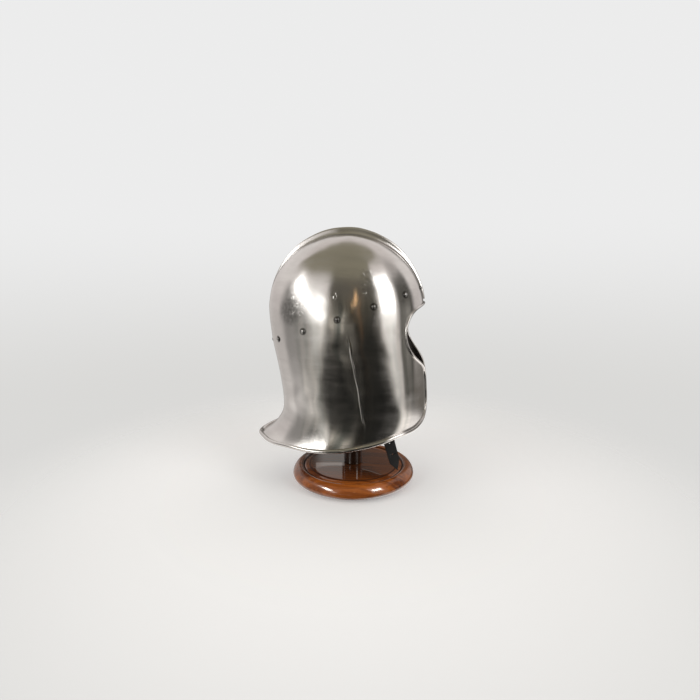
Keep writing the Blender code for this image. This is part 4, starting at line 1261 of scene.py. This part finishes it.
    # The ceiling
    above = n.smooth(side, -124.0, -102.0)
    above = n.math("MULTIPLY", above, n.smooth(side, 60.0, 20.0))
    edge = n.smooth(above, 0.0, 1.0, 66.0, 45.0)
    tone = n.mix(n.smooth(n.math("SUBTRACT", rise, edge), -6.0, 7.0), tone, (0.30, 0.275, 0.205))
    plain = n.mix(n.smooth(rise, -14.0, 6.0), (0.70, 0.695, 0.68), (0.84, 0.84, 0.84))
    seen = n.add("ShaderNodeLightPath").outputs["Is Camera Ray"]
    tone = n.mix(seen, tone, plain)
    glow = n.add("ShaderNodeBackground")
    n.put(glow.inputs[0], tone)
    n.put(n.add("ShaderNodeOutputWorld").inputs[0], glow.outputs[0])
    soft_light("softbox_tail_side", -44, 22.5, 1.6, 1.42, 0.32, 4.0, (1.0, 0.99, 0.97), lean=-36.0)
    soft_light("softbox_tail_side_edge", -48, 21.0, 1.62, 1.56, 0.54, 0.55, (1.0, 0.98, 0.95), lean=-36.0)
    soft_light("softbox_face_side", 52, 26.5, 1.6, 0.66, 1.22, 2.7, (1.0, 0.99, 0.97))
    soft_light("warm_lamp", 9, 22.5, 1.6, 0.009, 0.25, 15.0, (1.0, 0.60, 0.28), lean=16.0)
    soft_light("warm_door", 13, 9, 1.6, 0.05, 0.80, 0.16, (1.0, 0.50, 0.20))
    # Two lamps that only the varnish shows
    wooden = bpy.data.collections.new("wooden_pieces")
    for name in ("turned_base", "turned_post"):
        wooden.objects.link(bpy.data.objects[name])
    for lamp in (
        soft_light("lamp_tail_side", -44, 26, 1.55, 0.56, 0.32, 30.0, (1.0, 0.96, 0.88), lean=-34.0),
        soft_light("lamp_face_side", 53, 26, 1.55, 0.44, 0.46, 30.0, (1.0, 0.96, 0.88)),
    ):
        lamp.light_linking.receiver_collection = wooden
    # The daylight on the far wall's inner face, as the varnish shows it
    glow = soft_light("light_under_far_rim", 0, 0, 1.0, 0.046, 0.052, 0.72, (1.0, 0.95, 0.90))
    at, seen_at = Vector((0.068, 0.050, 0.085)), Vector((-0.038, 0.036, 0.024))
    glow.matrix_world = Matrix.Translation(at) @ (seen_at - at).to_track_quat("-Z", "Y").to_matrix().to_4x4()
    glow.light_linking.receiver_collection = wooden
    # The pale floor, which melts into the backdrop away from the stand
    floor, n = material("pale_floor")
    shader = n.shader(colour=(0.785, 0.80, 0.815), roughness=0.8, specular=0.1, emission_color=(1.0, 1.0, 1.0), emission_strength=0.26)
    fade = n.smooth(n.add("ShaderNodeVectorMath", operation="LENGTH").outputs["Value"], 0.22, 0.62)
    n.put(n.tree.nodes["Vector Math"].inputs[0], n.place())
    blend = n.add("ShaderNodeMixShader")
    n.put(blend.inputs[0], fade)
    n.put(blend.inputs[1], shader.outputs[0])
    n.put(blend.inputs[2], n.add("ShaderNodeBsdfTransparent").outputs[0])
    n.put(n.tree.nodes["Material Output"].inputs[0], blend.outputs[0])
    turn = np.arange(96) * 2 * math.pi / 96
    mesh = bpy.data.meshes.new("floor")
    mesh.from_pydata([(0.9 * math.cos(t), 0.9 * math.sin(t), 0.0) for t in turn], [], [tuple(range(96))])
    mesh.materials.append(floor)
    ground = bpy.data.objects.new("floor", mesh)
    ground.visible_glossy = False
    scene.collection.objects.link(ground)
    camera = bpy.data.objects.new("camera", bpy.data.cameras.new("camera"))
    camera.data.lens, camera.data.sensor_width = CAMERA_LENS, 36.0
    camera.data.clip_start, camera.data.clip_end = 0.01, 50.0
    yaw, pitch = math.radians(CAMERA_YAW), math.radians(CAMERA_PITCH)
    ahead = Vector((math.cos(pitch) * math.cos(yaw), math.cos(pitch) * math.sin(yaw), -math.sin(pitch)))
    camera.location = CAMERA_AT
    camera.rotation_mode = "QUATERNION"
    camera.rotation_quaternion = ahead.to_track_quat("-Z", "Y")
    scene.collection.objects.link(camera)
    scene.camera = camera


def main():
    polished = steel()
    shell(polished)
    rivets(rivet_steel())
    straps(leather(), iron())
    stand(
        wood("varnished_base_wood", (0.180, 0.050, 0.0075), (0.058, 0.0135, 0.003), 0.02, groove=(0.0668, 0.0753)),
        wood("dark_post_wood", (0.030, 0.012, 0.006), (0.012, 0.005, 0.003), 0.12, (90.0, 90.0, 6.0)),
    )
    studio()


main()
